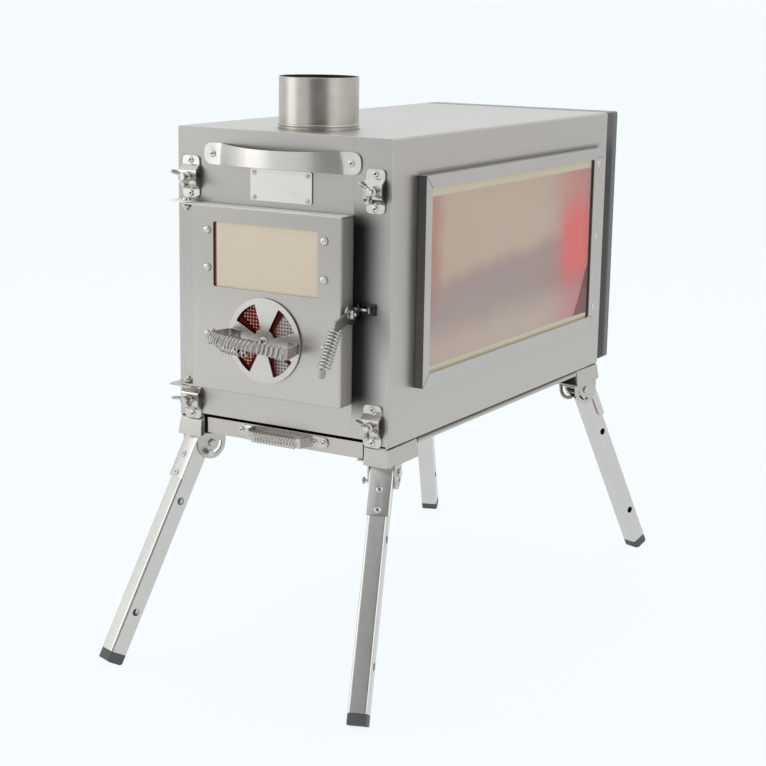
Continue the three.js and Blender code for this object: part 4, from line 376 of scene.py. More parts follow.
# %% Cards that only metal sees
# name, place, width, height and grey of each card; each stands upright and faces the stove
CARDS = [
    ("dark_cloth_behind_camera", (1.45, -2.45, 1.3), 2.6, 2.6, 0.17),
    ("grey_card_right", (1.5, 1.7, 0.55), 1.7, 1.1, 0.8),
]
for name, spot, width, height, grey in CARDS:
    bpy.ops.mesh.primitive_plane_add(size=1, location=spot)
    card = bpy.context.object
    card.name = name
    card.scale = (width, height, 1)
    card.rotation_euler = (Vector((0, 0, spot[2])) - Vector(spot)).to_track_quat("Z", "Y").to_euler()
    card.visible_camera = card.visible_diffuse = card.visible_shadow = card.visible_transmission = False
    cloth, tree = new_material(name)
    # folds of the cloth, about 0.4 m apart
    weave = add_node(tree, "TexNoise", {
        "Vector": add_node(tree, "TexCoord", {}, "Object"), "Scale": 2.5, "Detail": 3.0})
    level = add_node(tree, "MapRange", {
        "Value": weave, "From Min": 0.3, "From Max": 0.7, "To Min": 0.7 * grey, "To Max": 1.3 * grey})
    add_node(tree, "OutputMaterial", {"Surface": add_node(tree, "Emission", {"Strength": level})})
    card.data.materials.append(cloth)
print("cards:", len(CARDS))

# %% [markdown]
# ## Where things lie
# Heat tint, and painted light and shade, belong to places on the stove, and not to one piece. These are
# the lines of the stove that they keep to, in millimetres.

# %% Lines of the stove
DOOR_RIGHT, DOOR_TOP = 83, 474.5
VENT_PLACE = (-4.5, -268.5, 346)
FRAME_FRONT, FRAME_LOW, FRAME_TOP, FRAME_WIDTH = -198.5, 302.4, 511, 12.5
# centres of painted pools of ember light, on the firebox's inner wall and on the side pane
EMBER_PLACE = (-124, -165, 300)
FLAME_PLACE = (-128, -130, 350)
# inner faces of the firebox's sheet, and how far its warm tint and painted ember light come forwards and down
INNER_SIDE, INNER_REAR, INNER_TOP, INNER_FRONT, INNER_BOTTOM = 123.8, 246.7, 547.7, -230, 262
print("vent at", VENT_PLACE)

# %% [markdown]
# ## Brushed stainless sheet
# The firebox, door and brackets are stainless steel with a satin belt finish: fine scratches that all run
# one way. Paint or a photograph could give that look, but scratches made from stretched noise stay sharp at
# any distance. The real scratches are about 0.1 mm apart. That is too fine to show, so they are drawn
# about 0.7 mm apart and 60 mm long.

# %% Brushed stainless
SCRATCH_SPACING = 0.7 * MM
SCRATCH_LENGTH = 60 * MM
SMUDGE_SIZE = 90 * MM
fine, long = 1 / SCRATCH_SPACING, 1 / SCRATCH_LENGTH
# a leg leans, so its finish has no direction and is coarser
SCRATCH_SCALES = {"X": (long, fine, fine), "Y": (fine, long, fine), "Z": (fine, fine, long),
                  "all": (fine / 12, fine / 12, fine / 12)}


def brushed_steel(name, shade, along="Y", roughness=(0.30, 0.42), contrast=0.06, marks=None):
    """Satin steel whose scratches run along one axis. marks adds heat tint and painted light and shade."""
    material, tree = new_material(name)
    spot = add_node(tree, "TexCoord", {}, "Object")
    lined = add_node(tree, "Mapping", {"Vector": spot, "Scale": SCRATCH_SCALES[along]})
    scratches = add_node(tree, "TexNoise", {"Vector": lined, "Scale": 1.0, "Detail": 3.0, "Roughness": 0.6})
    smudges = add_node(tree, "TexNoise", {
        "Vector": spot, "Scale": 1 / SMUDGE_SIZE, "Detail": 2.0, "Roughness": 0.5})
    mix = add_node(tree, "Math", {0: smudges, 1: 0.6, 2: scratches}, operation="MULTIPLY_ADD")
    tone = add_node(tree, "MapRange", {
        "Value": mix, "From Min": 0.5, "From Max": 1.1, "To Min": 1 - contrast, "To Max": 1 + contrast})
    colour = add_node(tree, "VectorMath", {0: linear(shade)[:3], "Scale": tone}, operation="SCALE")
    rough = add_node(tree, "MapRange", {
        "Value": mix, "From Min": 0.45, "From Max": 1.15, "To Min": roughness[0], "To Max": roughness[1]})
    bump = add_node(tree, "Bump", {"Strength": 0.25, "Distance": 0.05 * MM, "Height": scratches})
    inputs = {"Base Color": colour, "Metallic": 1.0, "Roughness": rough, "Normal": bump}
    if marks:
        inputs.update(marks(tree, spot, colour, rough))
    add_node(tree, "OutputMaterial", {"Surface": add_node(tree, "BsdfPrincipled", inputs)})
    return material


# %% Painted shade, highlights and reflections on the front, the rear cover and the window frames


def front_painted_shade(tree, spot, colour, rough):
    """Painted shade: the front darkens towards its top, and the panel darkens beside the door's latch side.
    """
    x, y, z = add_node(tree, "SeparateXYZ", {0: spot}, EVERY)
    beside_door = add_node(tree, "Math", {0: x, 1: (DOOR_RIGHT + 0.2) * MM}, operation="GREATER_THAN")
    # painted shade and reflection of the door's dark side, on the panel beside the latch
    door_edge_shade = zone(tree, (x, 126, 92), beside_door, (z, 492, 462), (z, 270, 300))
    # painted shade: darker towards the top of the front
    marked = dimmed(tree, colour, (zone(tree, (z, 300, 470)), 0.74), (door_edge_shade, 0.06))
    # painted dark red shade under the vent disc, where the door's cut edges show through its openings
    from_vent = add_node(tree, "VectorMath", {0: spot, 1: Vector(VENT_PLACE) * MM}, "Value",
                         operation="DISTANCE")
    under_disc = add_node(tree, "Math", {0: from_vent, 1: 41 * MM}, operation="LESS_THAN")
    at_door = add_node(tree, "Math", {0: y, 1: -255 * MM}, operation="LESS_THAN")
    # painted highlight on the door's top wall, which faces the lamps
    painted_top_highlight = zone(tree, (z, DOOR_TOP - 0.9, DOOR_TOP - 0.2), (y, -249, -250))
    painted = layered(tree, marked, (zone(tree, under_disc, at_door), "#4A1A18"), (painted_top_highlight, "#F2F0EC"))
    # the door's side wall is worn matt by the latch
    from_wall = add_node(tree, "Math", {0: x, 1: DOOR_RIGHT * MM}, operation="SUBTRACT")
    from_wall = add_node(tree, "Math", {0: from_wall}, operation="ABSOLUTE")
    worn = add_node(tree, "MapRange", {
        "Value": from_wall, "From Min": 0.3 * MM, "From Max": 0.1 * MM, "To Min": 0.0, "To Max": 0.35})
    matt_wall = add_node(tree, "Math", {0: rough, 1: worn}, operation="ADD")
    matt_top = add_node(tree, "Math", {0: painted_top_highlight, 1: 0.35, 2: matt_wall}, operation="MULTIPLY_ADD")
    return {"Base Color": painted, "Roughness": matt_top}


def rear_painted_reflection(tree, spot, colour, rough):
    """A painted dark reflection on the folded cover's side, lighter towards its top and left off its rear
    edge.
    """
    x, y, z = add_node(tree, "SeparateXYZ", {0: spot}, EVERY)
    below_top = add_node(tree, "MapRange", {
        "Value": z, "From Min": 530 * MM, "From Max": 490 * MM, "To Min": 0.35},
        interpolation_type="SMOOTHSTEP")
    return {"Base Color": dimmed(tree, colour, (zone(tree, (y, 272, 264), below_top), 0.1))}


def mitred_joints_and_painted_shade(tree, spot, colour, rough):
    """Thin dark joints at 45 degrees where the frame's channels meet, and painted shade on its front wall."""
    x, y, z = add_node(tree, "SeparateXYZ", {0: spot}, EVERY)
    along = add_node(tree, "Math", {0: y, 1: FRAME_FRONT * MM}, operation="SUBTRACT")
    near = add_node(tree, "Math", {0: along, 1: FRAME_WIDTH * MM}, operation="LESS_THAN")
    joints = []
    for edge, sign in ((FRAME_TOP, -1), (FRAME_LOW, 1)):
        rise = add_node(tree, "Math", {0: z, 1: sign, 2: -sign * edge * MM}, operation="MULTIPLY_ADD")
        apart = add_node(tree, "Math", {0: along, 1: rise}, operation="SUBTRACT")
        apart = add_node(tree, "Math", {0: apart}, operation="ABSOLUTE")
        line = add_node(tree, "Math", {0: apart, 1: 0.55 * MM}, operation="LESS_THAN")
        joints.append(zone(tree, line, near))
    both = add_node(tree, "Math", {0: joints[0], 1: joints[1]}, operation="MAXIMUM")
    # painted shade on the frame's front wall
    wall = add_node(tree, "Math", {0: y, 1: (FRAME_FRONT + 0.2) * MM}, operation="LESS_THAN")
    return {"Base Color": dimmed(tree, colour, (both, 0.12), (wall, 0.36))}


# %% The brushed steels
# belt-ground sheet across the front, with painted shade and a painted highlight on the door and the panel: a
# soft sideways sheen
door_steel = brushed_steel("satin_stainless_door", "#C4BFB8", "X", contrast=0.035, marks=front_painted_shade)
panel_steel = brushed_steel("satin_stainless_panel", "#C0BCB6", "X", contrast=0.035, marks=front_painted_shade)
tray_steel = brushed_steel("satin_stainless_tray", "#C2BDB6", "X", contrast=0.035)
# folded channels and brackets, ground along their length
frame_steel = brushed_steel("satin_stainless_window_frame", "#BEBBB6", "Y", marks=mitred_joints_and_painted_shade)
gusset_steel = brushed_steel("satin_stainless_gussets", "#C0BCB6", "Y")
# straps and grips are rolled and handled, so they shine more than the sheet
strap_steel = brushed_steel("satin_stainless_straps", "#CDC9C2", "X", (0.24, 0.34), 0.05)
# the grips are a darker copy of the strap steel: painted shade
grip_steel = brushed_steel("shade_darkened_stainless_grips", "#A9A6A1", "X", (0.24, 0.32), 0.05)
# the keeper is painted dark as shade, and the rear cover is a dark steel
keeper_steel = brushed_steel("shade_darkened_stainless_keeper", "#4A4846", "X", (0.3, 0.4))
cover_steel = brushed_steel("dark_stainless_rear_cover", "#6A6866", "Z", (0.24, 0.34), marks=rear_painted_reflection)
# an etched plate and a punched disc, both paler and even
plate_steel = brushed_steel("etched_stainless_plate", "#D0CCC6", "X", (0.3, 0.36), 0.04)
disc_steel = brushed_steel("satin_stainless_vent_disc", "#CFCAC3", "X", (0.26, 0.34), 0.04)
# stamping polishes the clamps, and drawing the tubes: sharp bright lines along every bend
clamp_steel = brushed_steel("bright_stamped_stainless", "#D2CEC8", "Z", (0.16, 0.26))
leg_steel = brushed_steel("satin_stainless_leg_tube", "#CDCAC5", "all", (0.26, 0.34), 0.03)
print("brushed steels:", sum("stainless" in material.name for material in bpy.data.materials))

# %% [markdown]
# ## The firebox's inside
# Heat has turned the steel inside the firebox to a warm straw and rose tint. Ember light is painted on it,
# in its colour and as a glow of its own.
# Outer and inner faces belong to one folded sheet, so its material asks how deep a spot lies within
# the box: what is more than half a sheet inside takes the warm colours.

# %% Warm inside of the sheet


def inside_tint_glow_and_frame_shade(tree, spot, colour, rough):
    x, y, z = add_node(tree, "SeparateXYZ", {0: spot}, EVERY)
    side = add_node(tree, "Math", {0: x}, operation="ABSOLUTE")
    limits = [("LESS_THAN", side, INNER_SIDE), ("LESS_THAN", y, INNER_REAR), ("GREATER_THAN", y, INNER_FRONT),
              ("LESS_THAN", z, INNER_TOP), ("GREATER_THAN", z, INNER_BOTTOM)]
    inside = zone(tree, *[add_node(tree, "Math", {0: value, 1: limit * MM}, operation=operation)
                          for operation, value, limit in limits])
    clouds = add_node(tree, "TexNoise", {
        "Vector": spot, "Scale": 1 / (60 * MM), "Detail": 3.0, "Roughness": 0.55})
    # painted ember light, strongest at both sides, and deep red low on the right
    right = zone(tree, (x, 30, 88))
    left = add_node(tree, "MapRange", {
        "Value": x, "From Min": -95 * MM, "From Max": -124 * MM, "To Max": 0.55},
        interpolation_type="SMOOTHSTEP")
    sides = add_node(tree, "Math", {0: right, 1: left}, operation="MAXIMUM")
    low = zone(tree, (z, 385, 330), right)
    # darker low in the middle of the inside walls
    darker_low_middle = zone(tree, (y, -112, -92), (y, 60, 20), (z, 350, 335))
    # a painted pool of bright ember light lies near the door on the left, where the vent looks at it
    from_ember = add_node(tree, "VectorMath", {0: spot, 1: Vector(EMBER_PLACE) * MM}, "Value",
                          operation="DISTANCE")
    ember_light_pool = zone(tree, (from_ember, 70, 35))
    tint_and_ember_light = layered(tree, linear("#A08A80"), (clouds, "#D2C0AC"), (sides, "#E0605E"), (low, "#8E2A28"),
                   (darker_low_middle, "#4A1C1C"), (ember_light_pool, "#F6BCA0"))
    # the inside glows with painted light, more in the ember pool
    painted_glow = add_node(tree, "Math", {0: ember_light_pool, 1: 0.5, 2: 0.62}, operation="MULTIPLY_ADD")
    # painted shade on the wall along the upper edge of the window frames
    shade_over_frame = zone(tree, (z, FRAME_TOP + 6, FRAME_TOP + 1), (z, FRAME_TOP - 3, FRAME_TOP - 1),
                      (y, -205, -195), (y, 232, 215))
    return {
        "Base Color": dimmed(tree, layered(tree, colour, (inside, tint_and_ember_light)), (shade_over_frame, 0.5)),
        "Metallic": add_node(tree, "Math", {0: 1.0, 1: inside}, operation="SUBTRACT"),
        "Emission Color": tint_and_ember_light,
        "Emission Strength": zone(tree, inside, painted_glow),
    }


shell_steel = brushed_steel("satin_stainless_firebox", "#BCB8B2", "Y", contrast=0.035, marks=inside_tint_glow_and_frame_shade)
print("firebox sheet:", len(shell_steel.node_tree.nodes), "nodes")

# %% [markdown]
# ## Polished tube, bright bolts and wire
# The flue collar, bolts and springs were turned or drawn, so their surface mirrors more sharply than the
# sheet. A faint ring pattern is left by the lathe, and a haze by heat and hands.

# %% Polished steel
RING_SPACING = 0.5 * MM


def polished_steel(name, shade, roughness):
    material, tree = new_material(name)
    spot = add_node(tree, "TexCoord", {}, "Object")
    flat = add_node(tree, "Mapping", {
        "Vector": spot, "Scale": (1 / (20 * MM), 1 / (20 * MM), 1 / RING_SPACING)})
    rings = add_node(tree, "TexNoise", {"Vector": flat, "Scale": 1.0, "Detail": 2.0})
    haze = add_node(tree, "TexNoise", {"Vector": spot, "Scale": 1 / (15 * MM), "Detail": 3.0})
    rough = add_node(tree, "MapRange", {
        "Value": zone(tree, rings, haze), "From Min": 0.1, "From Max": 0.45,
        "To Min": roughness[0], "To Max": roughness[1]})
    tone = add_node(tree, "MapRange", {
        "Value": haze, "From Min": 0.3, "From Max": 0.7, "To Min": 0.93, "To Max": 1.05})
    colour = add_node(tree, "VectorMath", {0: linear(shade)[:3], "Scale": tone}, operation="SCALE")
    bump = add_node(tree, "Bump", {"Strength": 0.15, "Distance": 0.03 * MM, "Height": rings})
    surface = add_node(tree, "BsdfPrincipled", {
        "Base Color": colour, "Metallic": 1.0, "Roughness": rough, "Normal": bump})
    add_node(tree, "OutputMaterial", {"Surface": surface})
    return material


# a rolled tube that smoke has hazed, zinc-plated fasteners, and drawn spring wire, the sharpest of the three
collar_steel = polished_steel("polished_stainless_tube", "#B9B3AA", (0.27, 0.37))
bolt_steel = polished_steel("bright_zinc_fasteners", "#CDCBC6", (0.16, 0.26))
wire_steel = polished_steel("drawn_stainless_wire", "#C6C2BC", (0.14, 0.2))
print("polished steels:", [steel.name for steel in (collar_steel, bolt_steel, wire_steel)])

# %% [markdown]
# ## Hot parts, glass and feet
# The grate and the vent's screen sit in the fire, so they are scaled and matt. The panes are amber ceramic
# glass, which reads as warm cream against a bright background. The leg ends wear moulded grey caps.

# %% Fired steel


def fired_steel(name, dark, light, glow=0.0, ember_shade=None):
    """Scaled steel, with a painted red glow as strong as glow. ember_shade is a painted dark red of shade and
    ember light on the half that lies left of the vent.
    """
    material, tree = new_material(name)
    spot = add_node(tree, "TexCoord", {}, "Object")
    flakes = add_node(tree, "TexNoise", {
        "Vector": spot, "Scale": 1 / (12 * MM), "Detail": 5.0, "Roughness": 0.65})
    colour = layered(tree, linear(dark), (flakes, light))
    if ember_shade:
        x = add_node(tree, "SeparateXYZ", {0: spot}, "X")
        colour = layered(tree, colour, (zone(tree, (x, 16, 2)), ember_shade))
    surface = add_node(tree, "BsdfPrincipled", {
        "Base Color": colour, "Metallic": 0.8,
        "Roughness": add_node(tree, "MapRange", {"Value": flakes, "To Min": 0.45, "To Max": 0.7}),
        "Normal": add_node(tree, "Bump", {"Strength": 0.3, "Distance": 0.1 * MM, "Height": flakes}),
        "Emission Color": linear("#C8403C"), "Emission Strength": glow})
    add_node(tree, "OutputMaterial", {"Surface": surface})
    return material


# plate with a faint painted red glow, punched sheet with a painted dark red shade on its left half, soot in
# the flue, and painted shade for the dimples of rivets and screws
grate_steel = fired_steel("fired_steel_grate", "#5A4A44", "#8A766C", 0.25)
screen_steel = fired_steel("screen_with_painted_ember_shade", "#A8A4A0", "#CAC6C2", ember_shade="#6A2420")
soot = fired_steel("flue_soot", "#2A2725", "#4A4541")
dimple_shade = fired_steel("painted_dimple_shade", "#1C1B1A", "#33312F")
print("fired steels:", [steel.name for steel in (grate_steel, screen_steel, soot, dimple_shade)])

# %% Ceramic glass


def painted_view_through_pane(tree, spot, colour):
    """Painted light and shade of what a long pane shows: a beige haze above, a mauve one below, ember light
    at both ends, pale edges.
    """
    blur = add_node(tree, "TexNoise", {"Vector": spot, "Scale": 1 / (45 * MM), "Detail": 2.0}, "Color")
    # the noise sways every border by up to 8 mm each way
    sway = add_node(tree, "VectorMath", {0: blur, 1: (0, 16 * MM, 16 * MM), 2: spot},
                    operation="MULTIPLY_ADD")
    sway = add_node(tree, "VectorMath", {0: sway, 1: (0, 8 * MM, 8 * MM)}, operation="SUBTRACT")
    x, y, z = add_node(tree, "SeparateXYZ", {0: sway}, EVERY)
    # the mauve zone's upper edge rises towards the rear, and so does the edge of the painted shadow in the
    # lower rear corner
    mauve_edge = add_node(tree, "Math", {0: y, 1: -0.07, 2: z}, operation="MULTIPLY_ADD")
    shadow_corner_edge = add_node(tree, "Math", {0: z, 1: -0.74, 2: y}, operation="MULTIPLY_ADD")
    from_flame = add_node(tree, "VectorMath", {0: spot, 1: Vector(FLAME_PLACE) * MM}, "Value",
                          operation="DISTANCE")
    # painted light shows as two pale bands behind the frame, and a painted shadow line lies where the strip
    # meets the pane
    still_x, still_y, still_z = add_node(tree, "SeparateXYZ", {0: spot}, EVERY)
    painted_pale_bands = add_node(tree, "Math", {0: zone(tree, (still_z, 489, 490)), 1: zone(tree, (still_z, 321, 320))},
                     operation="MAXIMUM")
    return layered(
        tree, linear("#9C8A83"),
        (zone(tree, (mauve_edge, 398, 424)), "#B7A492"),
        (zone(tree, (z, 372, 330)), "#B3A193"),
        (zone(tree, (y, -148, -176), (z, 350, 420), 0.55), "#A85A58"),
        (zone(tree, (y, 60, 175), 0.7), "#B4696A"),
        (zone(tree, (y, 105, 150), (z, 345, 385), (z, 478, 425)), "#D4605E"),
        # a painted shadow in the lower rear corner
        (zone(tree, (shadow_corner_edge, -84, -80)), "#6E1C1E"),
        # a painted pool of light round the flame's place
        (zone(tree, (from_flame, 70, 40)), "#FFE6DA"),
        (painted_pale_bands, "#C3BBA3"),
        (zone(tree, (still_y, 193.5, 195)), "#262321"))


def painted_reveal_shade(tree, spot, colour):
    """Painted dark red shade on the small pane where its left edge lies behind the door."""
    x = add_node(tree, "SeparateXYZ", {0: spot}, "X")
    return layered(tree, colour, (zone(tree, (x, -63.5, -64.5)), "#64201C"))


def ceramic_glass(name, low, high, alpha, view, glow=0.0):
    """Rolled amber ceramic pane: a clear body, a warm tint and a sharp sheen. view paints the light and shade
    that it shows, and glow gives it a painted glow.
    """
    material, tree = new_material(name)
    spot = add_node(tree, "TexCoord", {}, "Object")
    wide = add_node(tree, "Mapping", {
        "Vector": spot, "Scale": (1 / (50 * MM), 1 / (200 * MM), 1 / (50 * MM))})
    film = add_node(tree, "TexNoise", {"Vector": wide, "Scale": 1.0, "Detail": 2.0})
    rough = add_node(tree, "MapRange", {
        "Value": film, "From Min": 0.3, "From Max": 0.7, "To Min": 0.04, "To Max": 0.09})
    shown = view(tree, spot, layered(tree, linear(low), (film, high)))
    surface = add_node(tree, "BsdfPrincipled", {
        "Base Color": shown, "Roughness": rough, "IOR": 1.54, "Alpha": alpha,
        "Emission Color": shown, "Emission Strength": glow})
    add_node(tree, "OutputMaterial", {"Surface": surface})
    return material


door_pane_glass = ceramic_glass("cream_ceramic_glass_door", "#F6E4C4", "#FFF0D8", 0.96, painted_reveal_shade)
# the side pane glows faintly: painted light
side_pane_glass = ceramic_glass("amber_ceramic_glass_side", "#C9B898", "#DCCBB0", 0.86, painted_view_through_pane, 0.28)
print("panes:", door_pane_glass.name, side_pane_glass.name)

# %% Moulded caps
# nylon or polypropylene from a mould: matt, with a fine grain and wear that pales it
cap_plastic, tree = new_material("moulded_grey_caps")
spot = add_node(tree, "TexCoord", {}, "Object")
grain = add_node(tree, "TexNoise", {"Vector": spot, "Scale": 1 / (0.8 * MM), "Detail": 3.0})
wear = add_node(tree, "TexNoise", {"Vector": spot, "Scale": 1 / (8 * MM), "Detail": 3.0})
surface = add_node(tree, "BsdfPrincipled", {
    "Base Color": layered(tree, linear("#505454"), (wear, "#636767")), "Roughness": 0.55,
    "Normal": add_node(tree, "Bump", {"Strength": 0.4, "Distance": 0.08 * MM, "Height": grain})})
add_node(tree, "OutputMaterial", {"Surface": surface})
print("materials:", len(bpy.data.materials))

# %% [markdown]
# ## Folded sheet parts
# The folded parts have the right shape already, but their bends are a few flat strips. A copy of each is
# merged into clean faces and shaded by angle, with the large flats left to decide the normals. Then a bend
# catches the light like rolled metal and a flat stays flat.

# %% Copying folded sheet


def refined(solid, name, body, finish_name, material, degrees=50):
    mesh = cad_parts[solid].data.copy()
    piece = bpy.data.objects.new(name, mesh)
    bpy.context.scene.collection.objects.link(piece)
    edit(piece)
    bpy.ops.mesh.remove_doubles(threshold=0.002 * MM)
    bpy.ops.mesh.dissolve_limited(angle_limit=math.radians(0.3))
    done()
    smooth(piece, degrees)
    return finish(piece, name, body, finish_name, material, solid)


CORNERS = ["right_front", "left_front", "right_rear", "left_rear"]
CLAMPS = ["upper_left", "upper_right", "lower_left", "lower_right"]
HANDS = ["right", "left"]

SHEET_PARTS = [
    ("body_shell", "stove", "sheet_steel", shell_steel),
    ("front_panel", "stove", "sheet_steel", panel_steel),
    ("rear_cover", "stove", "sheet_steel", cover_steel),
    ("floor_pan", "stove", "sheet_steel", gusset_steel),
    ("door_shell", "door", "sheet_steel", door_steel),
    ("door_glass_retainer", "door", "sheet_steel", tray_steel),
    ("vent_handle", "vent", "sheet_steel", grip_steel),
    ("latch_lever", "latch", "sheet_steel", grip_steel),
    ("latch_keeper", "stove", "bright_steel", keeper_steel),
    ("tray_handle", "tray", "sheet_steel", strap_steel),
    ("carry_handle", "stove", "sheet_steel", strap_steel),
    ("name_plate", "stove", "bright_steel", plate_steel),
]
SHEET_PARTS += [(f"window_frame_{hand}", "stove", "sheet_steel", frame_steel) for hand in HANDS]
SHEET_PARTS += [(f"glass_strip_{hand}", "stove", "sheet_steel", frame_steel) for hand in HANDS]
SHEET_PARTS += [(f"clamp_bracket_{clamp}", "stove", "bright_steel", clamp_steel) for clamp in CLAMPS]
SHEET_PARTS += [(f"corner_gusset_{corner}", "stove", "sheet_steel", gusset_steel) for corner in CORNERS]
SHEET_PARTS += [(f"leg_yoke_{corner}", f"leg_{corner}", "leg_steel", leg_steel) for corner in CORNERS]
for solid, body, finish_name, material in SHEET_PARTS:
    refined(solid, f"{solid}_sheet", body, finish_name, material)
print("folded parts:", len(SHEET_PARTS))

# %% Front panel's fit
# the panel is pressed close into the firebox's mouth, so no light shows round it
panel = bpy.data.objects["front_panel_sheet"]
edit(panel)
bpy.ops.transform.resize(value=(1.0022, 1, 1.0018), center_override=(0, -247.5 * MM, 399 * MM))
done()

# a ground seam closes the groove between the panel's bends and the firebox's edge, except at the tray
SEAM_SIDE, SEAM_LOW, SEAM_HIGH, SEAM_WIDTH = 124.4, 249.6, 548.4, 5.5
bpy.ops.object.select_all(action="DESELECT")
bpy.ops.mesh.primitive_plane_add(size=1, location=(0, -247.3 * MM, (SEAM_LOW + SEAM_HIGH) / 2 * MM),
                                 rotation=(math.pi / 2, 0, 0))
seam = bpy.context.object
seam.scale = (2 * SEAM_SIDE * MM, (SEAM_HIGH - SEAM_LOW) * MM, 1)
bpy.ops.object.transform_apply(location=True, rotation=True, scale=True)
edit(seam)
bpy.ops.mesh.select_mode(type="FACE")
bpy.ops.mesh.inset(thickness=SEAM_WIDTH * MM)
bpy.ops.mesh.delete(type="ONLY_FACE")
done()
choose(seam, "FACE", lambda corners: sum(c.z for c in corners) / len(corners) < (SEAM_LOW + 5) * MM)
bpy.ops.mesh.delete(type="ONLY_FACE")
done()
thicken(seam, 0.25, offset=1)
finish(seam, "panel_seam", "stove", "sheet_steel", panel_steel)
print("seam:", len(seam.data.polygons), "faces")

# %% [markdown]
# ## End caps
# The caps are moulded shoes pressed into the tubes, cut level where they meet the ground. A moulding has no
# sharp edge, so every edge of the shoe is rounded.

# %% End caps
for corner in CORNERS:
    cap = refined(f"leg_foot_{corner}", f"leg_cap_{corner}", f"leg_{corner}", "cap_plastic", cap_plastic)
    soften(cap, 2.2, angle=25, segments=3)
    smooth(cap, 60, weighted=False)
print("caps:", len(CORNERS))

# %% Solids that keep their shape
# flat panes and plates need no finer mesh, so only their material changes
for solid, material in {
    "fire_grate": grate_steel,
    "smoke_baffle": grate_steel,
    "door_glass": door_pane_glass,
    "window_glass_right": side_pane_glass,
    "window_glass_left": side_pane_glass,
}.items():
    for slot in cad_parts[solid].material_slots:
        slot.link = "OBJECT"
        slot.material = material

# %% [markdown]
# ## The flue collar
# The collar is a short drawn tube with a rolled bead near its foot and a small seat flange. It is round, so
# a single outline is spun about the upright axis. A bevelled top edge keeps the thin rim visible.

# %% Spinning round parts


def spun(outline, steps=32):
    """An outline of (radius, height) in millimetres, spun about the upright axis."""
    piece = fresh(bpy.ops.mesh.primitive_plane_add, size=1 * MM)
    edit(piece)
    bpy.ops.mesh.merge(type="CENTER")
    bpy.ops.transform.translate(value=(outline[0][0] * MM, 0, outline[0][1] * MM))
    for (r0, z0), (r1, z1) in zip(outline, outline[1:]):
        bpy.ops.mesh.extrude_region_move(TRANSFORM_OT_translate={
            "value": ((r1 - r0) * MM, 0, (z1 - z0) * MM)})
    bpy.ops.mesh.select_all(action="SELECT")
    bpy.ops.mesh.spin(steps=steps, angle=2 * math.pi, center=(0, 0, 0), axis=(0, 0, 1))
    bpy.ops.mesh.select_all(action="SELECT")
    bpy.ops.mesh.remove_doubles(threshold=0.001 * MM)
    bpy.ops.mesh.normals_make_consistent(inside=False)
    done()
    return piece


# %% Flue collar
BODY_TOP = 549
FLUE_CENTRE = (0, -181.5, 0)
FLUE_INNER, FLUE_OUTER = 39, 40
FLUE_FOOT, FLUE_TOP = BODY_TOP - 6, BODY_TOP + 51
SEAT = 41.2  # the flange on the roof
bead = [(FLUE_OUTER + 0.9 * math.cos(math.radians(a)), BODY_TOP + 4 + 1.5 * math.sin(math.radians(a)))
        for a in range(-90, 91, 15)]
collar_line = [
    (FLUE_INNER, FLUE_FOOT), (FLUE_OUTER, FLUE_FOOT), (FLUE_OUTER, BODY_TOP + 0.3),
    (SEAT, BODY_TOP + 0.3), (SEAT, BODY_TOP + 0.9), (FLUE_OUTER, BODY_TOP + 1.2),
    *bead,
    (FLUE_OUTER, FLUE_TOP - 0.3), (FLUE_OUTER - 0.3, FLUE_TOP), (FLUE_INNER + 0.2, FLUE_TOP),
    (FLUE_INNER, FLUE_TOP - 0.2), (FLUE_INNER, FLUE_FOOT),
]
collar = place(spun(collar_line, steps=128), shift(*FLUE_CENTRE))
smooth(collar, 30)
finish(collar, "flue_collar_drawn_tube", "stove", "bright_steel", collar_steel, "flue_collar")
# the inner wall below the rim is black with soot
second_finish(collar, soot, [
    math.hypot(face.center.x / MM, face.center.y / MM - FLUE_CENTRE[1]) < (FLUE_INNER + FLUE_OUTER) / 2
    and face.center.z < (FLUE_TOP - 1) * MM for face in collar.data.polygons])
print("collar:", len(collar.data.polygons), "faces")

# %% [markdown]
# ## Placing small parts
# Small round parts point in many directions: rivets outwards, bolts across their brackets. Each is drawn
# once along Z and then turned to its own direction. A leg's frame runs down the leg from its pivot.

# %% Directions and leg frames
OUT_FRONT = Vector((0, -1, 0))
ALONG_X = Vector((1, 0, 0))
# the turn of each leg's end of the stove, and the side that the leg takes before that turn
CORNER_PLACES = {"right_front": (0, 1), "left_front": (0, -1),
                 "right_rear": (180, -1), "left_rear": (180, 1)}
LEG_TILT, LEG_SPLAY = 27, 20
LEG_SIDE, LEG_END, PIVOT_HEIGHT = 110.9, 230, 221


def degrees(angle, axis):
    return Matrix.Rotation(math.radians(angle), 4, axis)


def aimed(spot, direction):
    """Puts a part that was drawn along Z at a spot, and points it in a direction."""
    return shift(*spot) @ Vector((0, 0, 1)).rotation_difference(Vector(direction)).to_matrix().to_4x4()


def pivot_frame(corner):
    """Along X runs the axis that the leg folds about."""
    turn, side = CORNER_PLACES[corner]
    return (degrees(turn, "Z") @ shift(side * LEG_SIDE, -LEG_END, 0) @ degrees(side * LEG_SPLAY, "Z")
            @ shift(0, 3, PIVOT_HEIGHT))


def leg_frame(corner):
    return pivot_frame(corner) @ degrees(-LEG_TILT, "X")


print("legs:", [[round(c / MM) for c in leg_frame(corner).translation] for corner in CORNERS])

# %% [markdown]
# ## Rivets
# Straps, brackets and yokes are held by blind rivets with heads of about 7 mm. A head is a low dome with the
# dimple that its pulled pin leaves, and the dimple is painted dark as shade. It mirrors the whole studio, so
# it reads as a bright ring round a dark dot. One head is spun and copied to every place.

